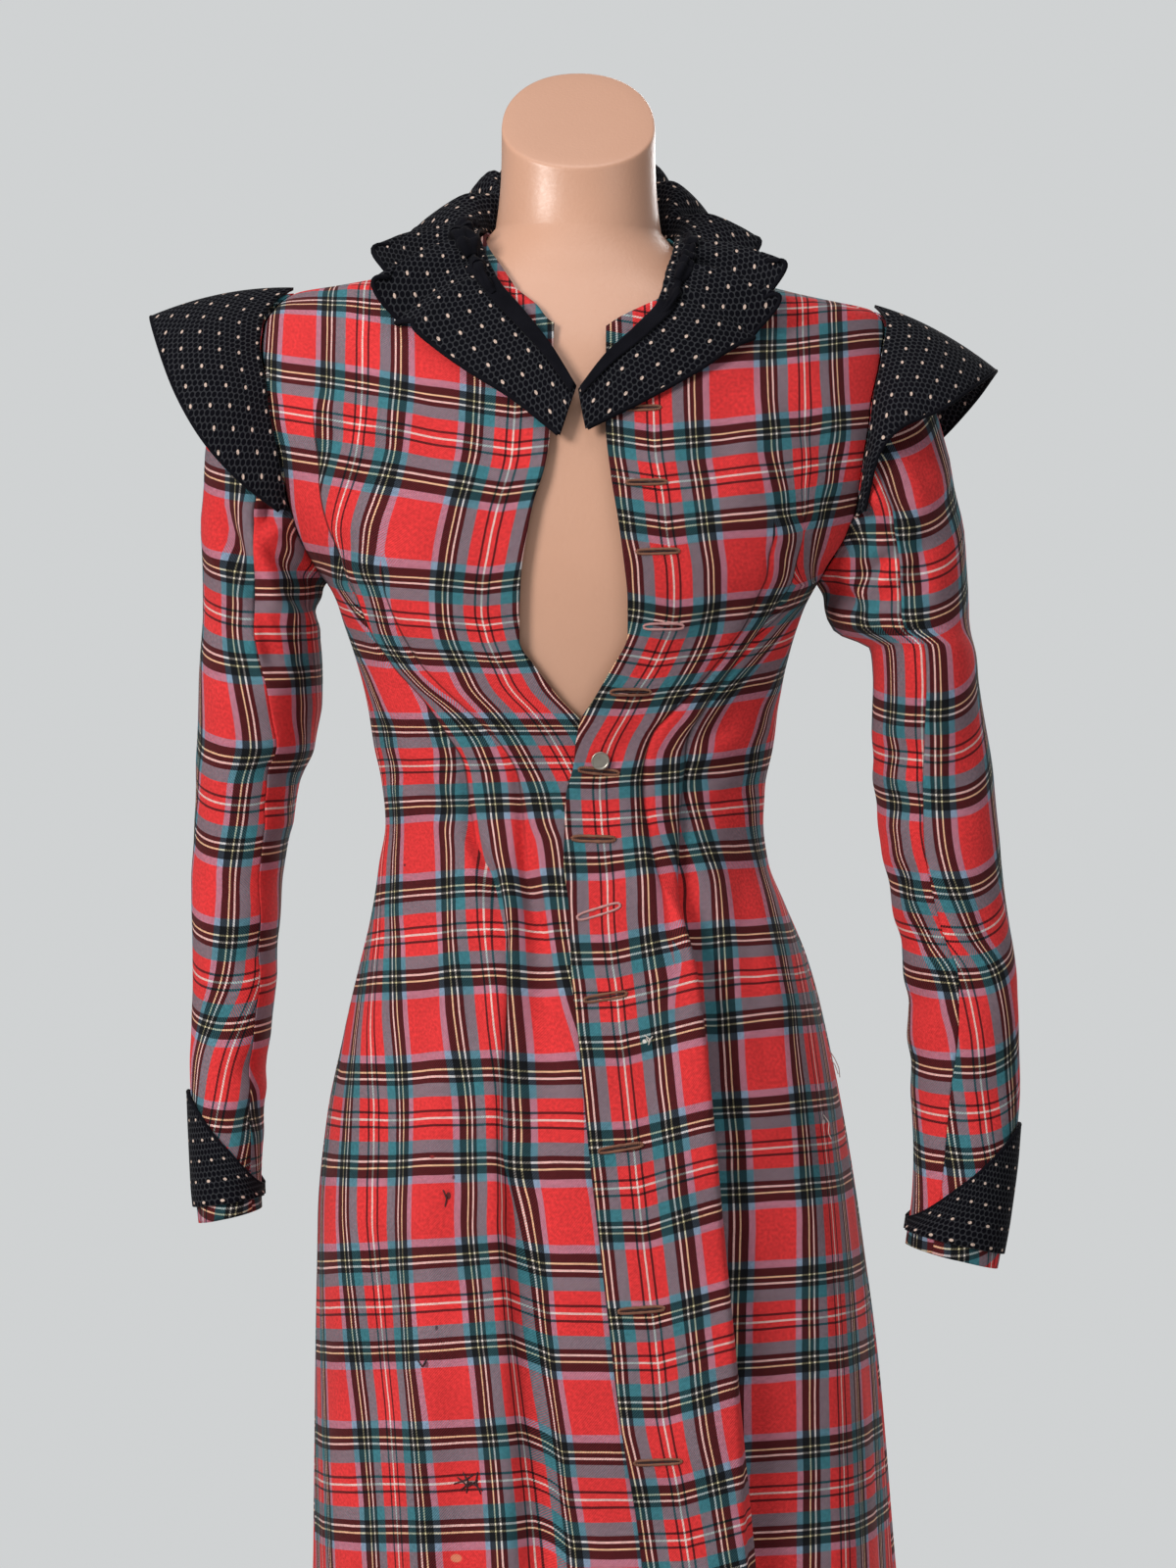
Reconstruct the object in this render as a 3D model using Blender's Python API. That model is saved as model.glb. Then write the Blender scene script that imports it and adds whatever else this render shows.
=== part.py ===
"""Tartan walking coat with velvet collar, caps and cuffs, worn by a limbless dress form.

Metres, +Z up. The coat's front faces -Y, and +X is the wearer's left.
The origin is the centre of the base's underside. Tables are in millimetres and degrees.
Every angle is measured round the body from the front centre, plus towards +X.
"""
import bpy
import math

MM = 0.001

# Cloth and seams
TARTAN_WALL = 1.5
VELVET_WALL = 1.8
SEAM_GAP = 0.3
LAY_GAP = 0.45
SEAM_EXTRA = 0.05

# Heights on the body
HEM_Z = 60.0
PLAIN_TOP_Z = 1150.0
UNDERARM_Z = 1187.0
TIP_Z = 1363.5
NECK_Z = 1405.0

# The wearer's right shoulder is a little higher, as it stands on the form.
TILT = 0.03
TILT_FROM_Z = 1150.0
TILT_FULL_Z = 1330.0

# Outer face of the cloth round the body: one row for each height.
BODY_COLUMNS = ("z", "left", "right", "front", "back", "side_power", "depth_power")
BODY = (
    (60, 182, 232, 190, 262, 0.95, 0.95),
    (200, 177, 222, 181, 244, 0.95, 0.95),
    (350, 170, 211, 171, 224, 0.95, 0.95),
    (500, 164, 200, 160, 202, 0.94, 0.94),
    (581, 162, 194, 153, 190, 0.93, 0.93),
    (692, 162, 186, 143, 172, 0.92, 0.92),
    (790, 161, 174, 134, 156, 0.91, 0.91),
    (852, 155, 164, 126, 144, 0.90, 0.92),
    (901, 145, 154, 119, 132, 0.90, 0.93),
    (950, 135, 142, 110, 118, 0.90, 0.94),
    (985, 128, 129, 102, 107, 0.91, 0.95),
    (1011, 125, 118.5, 95, 98, 0.92, 0.96),
    (1036, 121, 115.6, 89, 91, 0.93, 0.97),
    (1061, 123, 117, 87, 88, 0.93, 0.98),
    (1085, 128, 122, 90, 90, 0.92, 0.98),
    (1110, 132, 125, 96, 94, 0.91, 0.98),
    (1135, 138, 130, 103, 98, 0.90, 0.98),
    (1159, 146, 137, 109, 101, 0.90, 0.98),
    (1184, 155, 147, 113, 103, 0.90, 1.00),
    (1200, 170, 161, 114, 104, 0.90, 1.00),
    (1220, 187, 179, 114, 105, 0.90, 1.00),
    (1235, 196, 188, 113, 106, 0.90, 1.00),
    (1260, 205, 196, 110, 107, 0.90, 1.00),
    (1295, 212, 201, 101, 106, 0.90, 1.03),
    (1313, 212, 201, 95, 104, 0.92, 1.10),
    (1341, 203, 197, 84, 98, 0.94, 1.18),
    (1352, 193, 194, 79, 93, 0.96, 1.22),
    (1363.5, 177, 184, 73, 87, 0.98, 1.24),
    (1369, 149, 153, 70, 84, 1.00, 1.26),
    (1376, 119, 121, 66, 79, 1.00, 1.26),
    (1383, 98, 99, 62, 74, 1.00, 1.24),
    (1391, 82, 82, 57, 69, 1.00, 1.22),
    (1398, 68, 68, 54, 65, 1.00, 1.18),
    (1405, 57, 57, 51, 62, 1.00, 1.10),
    (1415, 52, 52, 47, 60, 0.97, 1.00),
    (1430, 50, 50, 44, 59, 0.95, 0.97),
)

# Front edges: sideways place of each front's edge at each height, as worn.
EDGE_COLUMNS = ("z", "x")
UPPER_EDGE = (
    (60, 85), (300, 63), (611, 35.9), (681, 24.8), (735, 18.5), (786, 12.6), (837, 6.8),
    (907, 0.2), (945, -3.9), (988, -5.6), (1012, -8.7), (1053, -7.5), (1073, -2.8),
    (1086, -1.5), (1100, 1.4), (1112, 9.1), (1130, 19.8), (1151, 30), (1173, 29.8),
    (1196, 27.5), (1219, 24.5), (1249, 19.8), (1279, 16.8), (1341, 17.0),
)
UNDER_EDGE = (
    (60, 103), (300, 84), (611, 60), (735, 45), (850, 34), (945, 25), (1012, 21),
    (1053, 22), (1073, 21), (1086, 13), (1100, 1.4), (1112, -10.5), (1133, -27),
    (1147, -35.5), (1166, -35.3), (1189, -34.2), (1213, -30.6), (1231, -27), (1249, -21.1),
    (1260, -18.8), (1273, -17), (1342, -14.6),
)

# Neckline and armhole, as angles on the body.
NECKLINE_COLUMNS = ("angle", "z")
NECKLINE = (
    (0, 1338), (3, 1341.5), (7.4, 1353), (11.1, 1360), (18, 1370), (28, 1380), (45, 1392),
    (66, 1400), (90, 1405),
    (120, 1406), (150, 1407), (180, 1408),
)
ARMHOLE_COLUMNS = ("z", "angle")
ARMHOLE = (
    (1187, 90), (1191, 82), (1198, 74.5), (1214, 67), (1235, 63), (1260, 61.2), (1295, 62.3),
    (1313, 65), (1330, 69.5), (1341, 73.4), (1352, 79.5), (1359, 85), (1363.5, 90),
)

# Skirt folds: angle at waist and hem, height where the fold starts, its rise at mid
# thigh and at the hem, and its spread to each side in degrees.
FOLD_COLUMNS = ("waist", "hem", "start", "mid", "low", "spread_minus", "spread_plus")
FOLDS = (
    (-31, -38, 1078, 5.0, 10.0, 6.5, 5.0),
    (-17.5, -18, 1078, 6.5, 12.0, 5.0, 3.6),
    (-10, -11, 1060, -3.5, -6.0, 3.5, 3.5),
    (21, 23, 1078, 11.0, 17.0, 9.0, 3.2),
    (32, 33, 1066, -7.0, -11.0, 4.2, 7.0),
    (52, 56, 1020, 3.0, 9.0, 9.0, 9.0),
    (-60, -62, 1000, 2.5, 8.0, 10.0, 10.0),
    (78, 76, 900, -2.0, -6.0, 7.0, 7.0),
    (97, 96, 1040, 4.0, 13.0, 7.0, 7.0),
    (113, 110, 1030, -3.0, -8.0, 5.0, 5.0),
    (126, 123, 1060, 6.0, 16.0, 6.0, 6.0),
    (140, 137, 1050, -3.0, -8.0, 5.0, 5.0),
    (152, 150, 1070, 6.5, 17.0, 6.0, 6.0),
    (165, 164, 1060, -3.0, -8.0, 5.0, 5.0),
    (180, 180, 1070, 6.0, 15.0, 5.0, 5.0),
    (-165, -164, 1060, -3.0, -8.0, 5.0, 5.0),
    (-152, -150, 1070, 6.5, 17.0, 6.0, 6.0),
    (-140, -137, 1050, -3.0, -8.0, 5.0, 5.0),
    (-126, -123, 1060, 6.0, 16.0, 6.0, 6.0),
    (-112, -109, 1030, -3.0, -8.0, 5.0, 5.0),
    (-96, -95, 1020, 4.0, 12.0, 7.0, 7.0),
)
FOLD_RAMP = 70.0
FOLD_RAMP_SHARE = 0.45
FOLD_REACH = 3.2
FOLD_MID_Z = 760.0

# Gentle fullness of the bodice over each dart point.
BUST = 7.0
BUST_ANGLE = 42.0
BUST_Z = 1196.0
BUST_SPREAD_ANGLE = 26.0
BUST_SPREAD_Z = 58.0
BUST_REACH = 3
BUST_REACH_ANGLE = 100

# The upper front passes over the under front, below the place where their edges cross.
CROSS_Z = 1100.0
OVERLAP_LIFT = 2.3
OVERLAP_FULL_Z = 4.0
OVERLAP_EASE_Z = 45.0
OVERLAP_EASE_ANGLE = 14.0

# Columns of the panels in the skirt, as angles. Where the fronts overlap, the columns run
# between the two edges, and these are the ones past the overlap.
UNDER_COLUMNS = (-7, -10.5, -14, -17.5, -21, -26, -31, -36, -43, -52, -62, -75, -90)
UPPER_COLUMNS = (28.5, 31, 34, 38, 44, 52, 62, 76, 90)
LAP_SHARES = (0.0, 0.333, 0.667, 1.0)
UNDER_LEAD_IN = (0.5,)
UPPER_LEAD_IN = (0.4, 0.65, 0.83)
LAP_MARGIN = 1.5
BACK_COLUMNS = (90, 97, 104, 111, 118, 125, 132, 139, 145, 152, 159, 166, 173, 180)
FRONT_ROWS = (60, 150, 260, 370, 480, 580, 670, 750, 820, 880, 930, 970, 1002, 1028, 1048,
              1064, 1078, 1090, 1102, 1114, 1126, 1138, 1150)
BACK_ROWS = (60, 150, 260, 370, 480, 580, 670, 750, 820, 880, 930, 970, 1002, 1028, 1048,
             1078, 1114, 1150)
BODICE_ROWS = 11
UNDERARM_ROW = 2
SHOULDER_COLUMNS = 8
NECK_COLUMN_POWER = 1.5
BACK_COLUMN_POWER = 0.8
EVEN_FROM_Z = 1000.0
EVEN_TO_Z = 1110.0

# Sleeves: one row for each ring under the arm, centre and half sizes.
SLEEVE_COLUMNS = ("z", "x", "half_width", "y", "half_depth", "slant")
SLEEVE_RIGHT_ARM = (
    (1165, 199.5, 36.0, 3, 59, 0), (1122, 200.2, 38.4, 8, 59, 0), (1085, 203.0, 37.0, 12, 55, 0),
    (1061, 208.5, 32.6, 13, 51, 0), (1036, 211.0, 30.1, 11, 47, 0), (1000, 214.6, 28.3, 5, 43, 0),
    (938, 215.3, 25.8, -8, 38, 0), (876, 218.3, 23.4, -21, 34, 0), (815, 217.6, 20.6, -31, 32, 2),
    (794, 215.9, 19.6, -34, 31.5, 4.5),
)
SLEEVE_LEFT_ARM = (
    (1165, 201.0, 44.0, 3, 59, 0), (1157, 203.5, 42.5, 4, 59, 0), (1146, 216.0, 32.6, 5, 58, 0),
    (1132, 218.0, 32.8, 7, 58, 0),
    (1098, 220.8, 35.7, 11, 56, 0), (1061, 223.9, 37.5, 13, 52, 0), (1024, 227.6, 37.3, 9, 47, 0),
    (975, 234.4, 35.1, 0, 42, 0), (938, 239.5, 34.7, -8, 38, 0), (876, 240.8, 33.8, -21, 36, 1),
    (839, 240.0, 31.8, -27, 34, 3), (800, 236.5, 29.5, -34, 33, 6), (769, 231.2, 28.5, -38, 32, 7.5),
)
# Pull of the sleeve head at the top, front, underarm and back of the armhole, and how far
# each line runs straight above the first ring.
HEAD_COLUMNS = ("turn", "out", "forward", "rise", "straight")
HEAD_RIGHT_ARM = ((0, 52, 0, 1, 98), (45, 34, -14, -4, 74), (90, 15, -14, -12, 46),
                  (135, 8, -6, -12, 22), (180, 5, 0, -9, 8), (225, 8, 6, -12, 22),
                  (270, 15, 14, -12, 46), (315, 34, 14, -4, 74), (360, 52, 0, 1, 98))
HEAD_LEFT_ARM = ((0, 27, 0, -6, 74), (45, 22, -14, -8, 62), (90, 15, -14, -12, 46),
                 (135, 8, -6, -12, 22), (180, 5, 0, -9, 8), (225, 8, 6, -12, 22),
                 (270, 15, 14, -12, 46), (315, 22, 14, -8, 62), (360, 27, 0, -6, 74))
SLEEVE_POWER = 0.92
HEAD_ROWS = 6
LONG_SPAN = 40
FRONT_SEAM_TURN = 95.0
BACK_SEAM_TURN = 256.0
TOP_SLEEVE_COLUMNS = 13
UNDER_SLEEVE_COLUMNS = 9
ARMHOLE_GAP_RIGHT_ARM = 1.4
ARMHOLE_GAP_LEFT_ARM = 0.9
ARMHOLE_RISE = 0.2

# Cuffs
CUFF_ABOVE_HEM = 9.0
CUFF_TALL = 67.0
CUFF_LOW = 8.0
CUFF_OPEN_TURN = 9.0
CUFF_END_SPACE = 3.0
CUFF_LIFT = 0.75
CUFF_ROWS = 3
CUFF_POINT_POWER = 1.15

# Shoulder caps: outer edge from the front tip over the top to the back tip.
# "along" runs from 0 at the front tip to 1 at the back tip, x is measured outwards.
CAP_COLUMNS = ("along", "x", "y", "z", "swell")
CAP_RIGHT_ARM = (
    (0.00, 184, -60, 1229, 1), (0.10, 206, -66, 1246, 3), (0.20, 229, -67, 1271, 5),
    (0.30, 247, -57, 1301, 6), (0.40, 260, -34, 1332, 6), (0.50, 268, 0, 1354, 5),
    (0.60, 259, 34, 1338, 6), (0.70, 246, 58, 1308, 6), (0.80, 229, 70, 1278, 5),
    (0.90, 206, 72, 1252, 3), (1.00, 184, 66, 1234, 1),
)
CAP_LEFT_ARM = (
    (0.00, 176, -60, 1229, 1), (0.10, 184, -66, 1258, 3), (0.20, 197, -66, 1274, 5),
    (0.30, 222, -58, 1291, 6), (0.40, 246, -34, 1308, 6), (0.50, 262, 0, 1320, 5),
    (0.60, 255, 34, 1309, 6), (0.70, 241, 60, 1292, 6), (0.80, 221, 71, 1272, 5),
    (0.90, 198, 73, 1250, 3), (1.00, 178, 66, 1232, 1),
)
CAP_ROWS = 4
CAP_STEPS = 16
CAP_LIFT = 3.4
CAP_LEAN = 0.62
CAP_REACH_TURN = 122.0

# Collar: sections from the front end round to the centre back. Each has its neck edge,
# its roll and its outer edge. On the first six rows the depth y is how far the point
# stands off the coat. On the others the neck edge is an angle, a lift and a height.
COLLAR_COLUMNS = ("nx", "ny", "nz", "rx", "ry", "rz", "ox", "oy", "oz", "ruffle", "waves")
COLLAR_RIGHT = (
    (-1, 3.4, 1301, -6, 4.2, 1286, -11, 3.4, 1271, 0.0, 0.0),
    (-17.7, 3.4, 1328.6, -29, 4.6, 1312, -41.5, 3.2, 1295.7, 0.0, 0.0),
    (-32.6, 3.6, 1348, -49, 5.4, 1330, -66.5, 3.4, 1311.6, 0.0, 0.0),
    (-49, 4.2, 1368, -71, 7.0, 1351, -94, 5.2, 1332, 1.5, 0.3),
    (-56, 5.0, 1386, -85, 9.0, 1371, -115, 8.0, 1350, 4.2, 1.1),
    (-59, 6.5, 1397, -88, 12.0, 1385, -117, 10.5, 1367, 5.2, 2.0),
    (-97, 3.4, 1404, -80, 10, 1411, -104, 14, 1396, 5.6, 2.9),
    (-125, 3.0, 1405, -54, 41, 1440, -74, 60, 1411, 5.2, 4.0),
    (-152, 3.0, 1406, -41, 66, 1454, -56, 92, 1415, 4.8, 5.2),
    (-180, 3.0, 1407, 0, 80, 1456, 0, 108, 1418, 4.6, 6.5),
)
COLLAR_LEFT = (
    (0, 3.4, 1299, 2, 4.2, 1287, 4.5, 3.4, 1275, 0.0, 0.0),
    (16.2, 3.4, 1321, 26, 4.6, 1306, 35.8, 3.2, 1291, 0.0, 0.0),
    (34.7, 3.6, 1339, 50, 5.4, 1323, 65.5, 3.4, 1307.6, 0.0, 0.0),
    (48, 4.2, 1354, 71, 7.0, 1341, 95, 5.2, 1326, 1.5, 0.3),
    (53, 5.0, 1372, 83, 9.0, 1361, 113, 8.0, 1345, 4.2, 1.1),
    (56, 7.0, 1386, 86, 12.0, 1377, 116, 10.5, 1362, 5.2, 2.0),
    (97, 3.4, 1403, 81, 10, 1406, 108, 14, 1392, 5.6, 2.9),
    (125, 3.0, 1405, 56, 41, 1436, 77, 58, 1407, 5.2, 4.0),
    (152, 3.0, 1406, 41, 66, 1453, 57, 91, 1413, 4.8, 5.2),
    (180, 3.0, 1407, 0, 80, 1456, 0, 108, 1418, 4.6, 6.5),
)
COLLAR_ON_COAT_ROWS = 6
RUFFLE_FRONT = (0.35, -0.55, 0.90)
RUFFLE_BACK = (0.62, 0.50, 0.81)
RUFFLE_TURNS_AT = 5.5
RUFFLE_PHASE = 0.8
FLAT_SHARE = 0.145
FLAT_COLUMNS_SHARE = 0.08
COLLAR_STEPS = 62
COLLAR_ROWS = 5
BINDING_STEPS = 8
BINDING_START = 0.004
BINDING_END = 0.17
BINDING_FROM = 0.02
BINDING_TO = 0.22
BINDING_WALL = 1.2

# Button
BUTTON_X = 13.2
BUTTON_Z = 1075.7
BUTTON_RADIUS = 5.6
BUTTON_THICK = 2.0
BUTTON_RIM = 0.8
BUTTON_BEND = 0.4
BUTTON_SIDES = 24

# Dress form, pole and base
FORM_BOTTOM_Z = 800.0
FORM_COLUMNS = ("z", "side_limit", "side_in", "front_in", "back_in")
FORM = (
    (800, 144, 18, 26, 28), (850, 144, 13, 21, 20), (900, 140, 11, 17, 15), (950, 134, 10, 15, 12),
    (1000, 130, 8, 12, 9), (1036, 125, 6.5, 8, 7), (1085, 130, 6.5, 7, 6.5),
    (1135, 138, 7.5, 8, 7), (1184, 142, 9, 8, 7), (1220, 145, 12, 8, 7), (1260, 150, 12, 7, 6.5),
    (1300, 159, 10, 5, 5), (1330, 167, 10, 4.6, 4.4),
    (1352, 164, 16, 6.8, 5.2), (1363.5, 156, 19, 7.4, 5.6), (1376, 130, 18, 7.2, 5.6),
    (1384, 110, 11.5, 5.8, 4.8), (1395, 110, 7.5, 4.8, 4.2),
    (1405, 90, 4.5, 4.4, 4.2), (1415, 60, 3, 3, 3), (1430, 50, 1.5, 1.5, 1.5),
)
FORM_FOOT_SHARE = 0.94
FORM_FOOT_EDGE = 8.0
FORM_BUST_SHARE = 0.85
NECK_SHARES = (0.16, 0.34, 0.6, 0.96)
NECK_HALF_WIDTH = 48.2
NECK_FRONT = 42.0
NECK_BACK = 57.0
NECK_POWER = 0.93
NECK_ROOT_SPEED = 1.25
NECK_ROOT_POWER = 2.2
CAP_FRONT_Z = 1443.0
CAP_BACK_Z = 1516.0
CAP_EDGE = 2.5
FORM_SEGMENTS = 30
FORM_ROWS = (800, 850, 900, 950, 995, 1036, 1075, 1115, 1155, 1195, 1235, 1270, 1300, 1325,
             1344, 1358, 1369, 1380, 1390, 1398, 1405)
POLE_RADIUS = 16.0
POLE_SIDES = 20
BASE_RADIUS = 178.0
BASE_HEIGHT = 20.0
BASE_SIDES = 40
BASE_EDGE = 5.0


def clear_scene():
    for thing in list(bpy.data.objects):
        bpy.data.objects.remove(thing, do_unlink=True)


def ease(value):
    value = min(1.0, max(0.0, value))
    return value * value * (3.0 - 2.0 * value)


def mix(a, b, share):
    return a + (b - a) * share


def read(table, at, column):
    """Value of a column at a place along the table's first column, on a smooth curve."""
    last = len(table) - 1
    if at <= table[0][0]:
        return table[0][column]
    if at >= table[last][0]:
        return table[last][column]
    row = 0
    while table[row + 1][0] < at:
        row += 1
    span = table[row + 1][0] - table[row][0]
    share = (at - table[row][0]) / span

    def slope(i):
        before = max(i - 1, 0)
        after = min(i + 1, last)
        left = (table[i][column] - table[before][column]) / max(table[i][0] - table[before][0], 1e-9)
        right = (table[after][column] - table[i][column]) / max(table[after][0] - table[i][0], 1e-9)
        if i == 0:
            return right
        if i == last:
            return left
        if left * right <= 0:
            return 0.0
        return 2.0 * left * right / (left + right)

    start = table[row][column]
    end = table[row + 1][column]
    s2 = share * share
    s3 = s2 * share
    return (start * (2 * s3 - 3 * s2 + 1) + end * (3 * s2 - 2 * s3)
            + slope(row) * span * (s3 - 2 * s2 + share) + slope(row + 1) * span * (s3 - s2))


def add(a, b, scale=1.0):
    return (a[0] + b[0] * scale, a[1] + b[1] * scale, a[2] + b[2] * scale)


def sub(a, b):
    return (a[0] - b[0], a[1] - b[1], a[2] - b[2])


def cross(a, b):
    return (a[1] * b[2] - a[2] * b[1], a[2] * b[0] - a[0] * b[2], a[0] * b[1] - a[1] * b[0])


def length(a):
    return math.sqrt(a[0] * a[0] + a[1] * a[1] + a[2] * a[2])


def unit(a):
    size = max(length(a), 1e-9)
    return (a[0] / size, a[1] / size, a[2] / size)


def signed_power(value, power):
    return math.copysign(abs(value) ** power, value)


def tilted(point):
    lean = TILT * ease((point[2] - TILT_FROM_Z) / (TILT_FULL_Z - TILT_FROM_Z))
    return (point[0], point[1], point[2] - lean * point[0])


def ring_point(angle, z, left, right, front, back, side_power, depth_power):
    turn = math.radians(angle)
    middle = 0.5 * (right - left)
    half = 0.5 * (right + left)
    x = middle + half * signed_power(math.sin(turn), side_power)
    depth = signed_power(math.cos(turn), depth_power)
    y = -front * depth if depth > 0 else -back * depth
    return (x, y, z)


def bare_point(angle, z):
    row = [read(BODY, z, column) for column in range(1, 7)]
    return ring_point(angle, z, *row)


def fold_rise(angle, z):
    total = 0.0
    for waist, hem, start, mid, low, minus, plus in FOLDS:
        if z >= start:
            continue
        centre = mix(hem, waist, ease((z - HEM_Z) / (start - HEM_Z)))
        away = (angle - centre + 180.0) % 360.0 - 180.0
        spread = minus if away < 0 else plus
        if abs(away) > FOLD_REACH * spread:
            continue
        if z > FOLD_MID_Z:
            size = mid * ease((start - z) / max(FOLD_RAMP, FOLD_RAMP_SHARE * (start - FOLD_MID_Z)))
        else:
            size = mix(low, mid, (z - HEM_Z) / (FOLD_MID_Z - HEM_Z))
        total += size * math.exp(-(away / spread) ** 2)
    bust_z = (z - BUST_Z) / BUST_SPREAD_Z
    if abs(bust_z) < BUST_REACH and abs(angle) < BUST_REACH_ANGLE:
        sideways = (abs(angle) - BUST_ANGLE) / BUST_SPREAD_ANGLE
        total += BUST * math.exp(-bust_z ** 2 - sideways ** 2)
    return total


MEMORY = {}


def smooth_point(angle, z):
    """Point on the outer face of the coat, folds and all."""
    key = (round(angle, 5), round(z, 4))
    if key in MEMORY:
        return MEMORY[key]
    step_angle = 2.0
    step_z = 2.0
    round_step = sub(bare_point(angle + step_angle, z), bare_point(angle - step_angle, z))
    up_step = sub(bare_point(angle, z + step_z), bare_point(angle, z - step_z))
    out = unit(cross(round_step, up_step))
    point = tilted(add(bare_point(angle, z), out, fold_rise(angle, z)))
    MEMORY[key] = point
    return point


def coat_normal(angle, z):
    step_angle = 1.2
    step_z = 1.5
    round_step = sub(smooth_point(angle + step_angle, z), smooth_point(angle - step_angle, z))
    up_step = sub(smooth_point(angle, z + step_z), smooth_point(angle, z - step_z))
    return unit(cross(round_step, up_step))


def coat_point(angle, z, lift=0.0):
    return add(smooth_point(angle, z), coat_normal(angle, z), lift)


def angle_at(x, z):
    """Angle where the body's ring at a height reaches a sideways place."""
    left, right = read(BODY, z, 1), read(BODY, z, 2)
    power = read(BODY, z, 5)
    share = (x - 0.5 * (right - left)) / (0.5 * (right + left))
    share = max(-1.0, min(1.0, share))
    return math.degrees(math.asin(signed_power(share, 1.0 / power)))


def on_coat(x, z, lift):
    """Point over the coat's front at a sideways place and a height as seen."""
    level = z
    for _ in range(3):
        level = z + TILT * x * ease((level - TILT_FROM_Z) / (TILT_FULL_Z - TILT_FROM_Z))
    return coat_point(angle_at(x, level), level, lift)


def wall(name, outer, inner, material):
    """Closed wall between two grids of points with the same rows and columns."""
    rows = len(outer)
    columns = len(outer[0])
    verts = [p for row in outer for p in row] + [p for row in inner for p in row]
    below = rows * columns

    def at(row, column, layer=0):
        return row * columns + column + layer * below

    faces = []
    for r in range(rows - 1):
        for c in range(columns - 1):
            faces.append((at(r, c), at(r, c + 1), at(r + 1, c + 1), at(r + 1, c)))
            faces.append((at(r, c, 1), at(r + 1, c, 1), at(r + 1, c + 1, 1), at(r, c + 1, 1)))
    for c in range(columns - 1):
        faces.append((at(0, c), at(0, c, 1), at(0, c + 1, 1), at(0, c + 1)))
        top = rows - 1
        faces.append((at(top, c), at(top, c + 1), at(top, c + 1, 1), at(top, c, 1)))
    for r in range(rows - 1):
        faces.append((at(r, 0), at(r + 1, 0), at(r + 1, 0, 1), at(r, 0, 1)))
        end = columns - 1
        faces.append((at(r, end), at(r, end, 1), at(r + 1, end, 1), at(r + 1, end)))
    return solid(name, verts, faces, material)


def solid(name, verts, faces, material):
    """Makes a mesh object in metres, with its faces turned outwards."""
    volume = 0.0
    for face in faces:
        for k in range(1, len(face) - 1):
            a, b, c = verts[face[0]], verts[face[k]], verts[face[k + 1]]
            n = cross(b, c)
            volume += a[0] * n[0] + a[1] * n[1] + a[2] * n[2]
    if volume < 0:
        faces = [tuple(reversed(face)) for face in faces]
    mesh = bpy.data.meshes.new(name)
    mesh.from_pydata([(v[0] * MM, v[1] * MM, v[2] * MM) for v in verts], [], faces)
    mesh.validate()
    mesh.update()
    thing = bpy.data.objects.new(name, mesh)
    bpy.context.scene.collection.objects.link(thing)
    mesh.materials.append(material)
    return thing


def material(name, color, rough, metal=0.0):
    slot = bpy.data.materials.new(name)
    slot.use_nodes = True
    shader = slot.node_tree.nodes["Principled BSDF"]
    shader.inputs["Base Color"].default_value = (color[0], color[1], color[2], 1.0)
    shader.inputs["Roughness"].default_value = rough
    shader.inputs["Metallic"].default_value = metal
    slot.diffuse_color = (color[0], color[1], color[2], 1.0)
    return slot


def edge_angle(side, z):
    table = UPPER_EDGE if side > 0 else UNDER_EDGE
    return angle_at(read(table, z, 1), z)


def overlap_lift(angle, z):
    """How far the upper front stands off, where it passes over the under front."""
    under = edge_angle(-1, min(z, CROSS_Z))
    near = 1.0 - ease((angle - under) / OVERLAP_EASE_ANGLE)
    low = 1.0 - ease((z - CROSS_Z - OVERLAP_FULL_Z) / OVERLAP_EASE_Z)
    return OVERLAP_LIFT * near * low


def side_height(v):
    """Height of a panel's side edge at a share of the bodice, with a row at the underarm."""
    low = UNDERARM_ROW / BODICE_ROWS
    if v < low:
        return mix(PLAIN_TOP_Z, UNDERARM_Z, v / low)
    return mix(UNDERARM_Z, TIP_Z, (v - low) / (1.0 - low))


def top_edge(side, share, columns):
    """Angle and height on a front's top edge: neckline first, then shoulder seam."""
    neck = 1.0 - SHOULDER_COLUMNS / columns
    if share < neck - 1e-6:
        table = UPPER_EDGE if side > 0 else UNDER_EDGE
        start = abs(edge_angle(side, table[-1][0]))
        angle = mix(start, 90.0, (share / neck) ** NECK_COLUMN_POWER)
        return side * angle, read(NECKLINE, angle, 1)
    return side * 90.0, mix(NECK_Z, TIP_Z, (share - neck) / (1.0 - neck))


def coons(u, v, low, high, start, end):
    """Place inside a four-sided patch given by its four edges."""
    result = []
    for k in range(2):
        rows = (1 - v) * low(u)[k] + v * high(u)[k]
        columns = (1 - u) * start(v)[k] + u * end(v)[k]
        corners = ((1 - u) * (1 - v) * low(0)[k] + u * (1 - v) * low(1)[k]
                   + (1 - u) * v * high(0)[k] + u * v * high(1)[k])
        result.append(rows + columns - corners)
    return result


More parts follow.
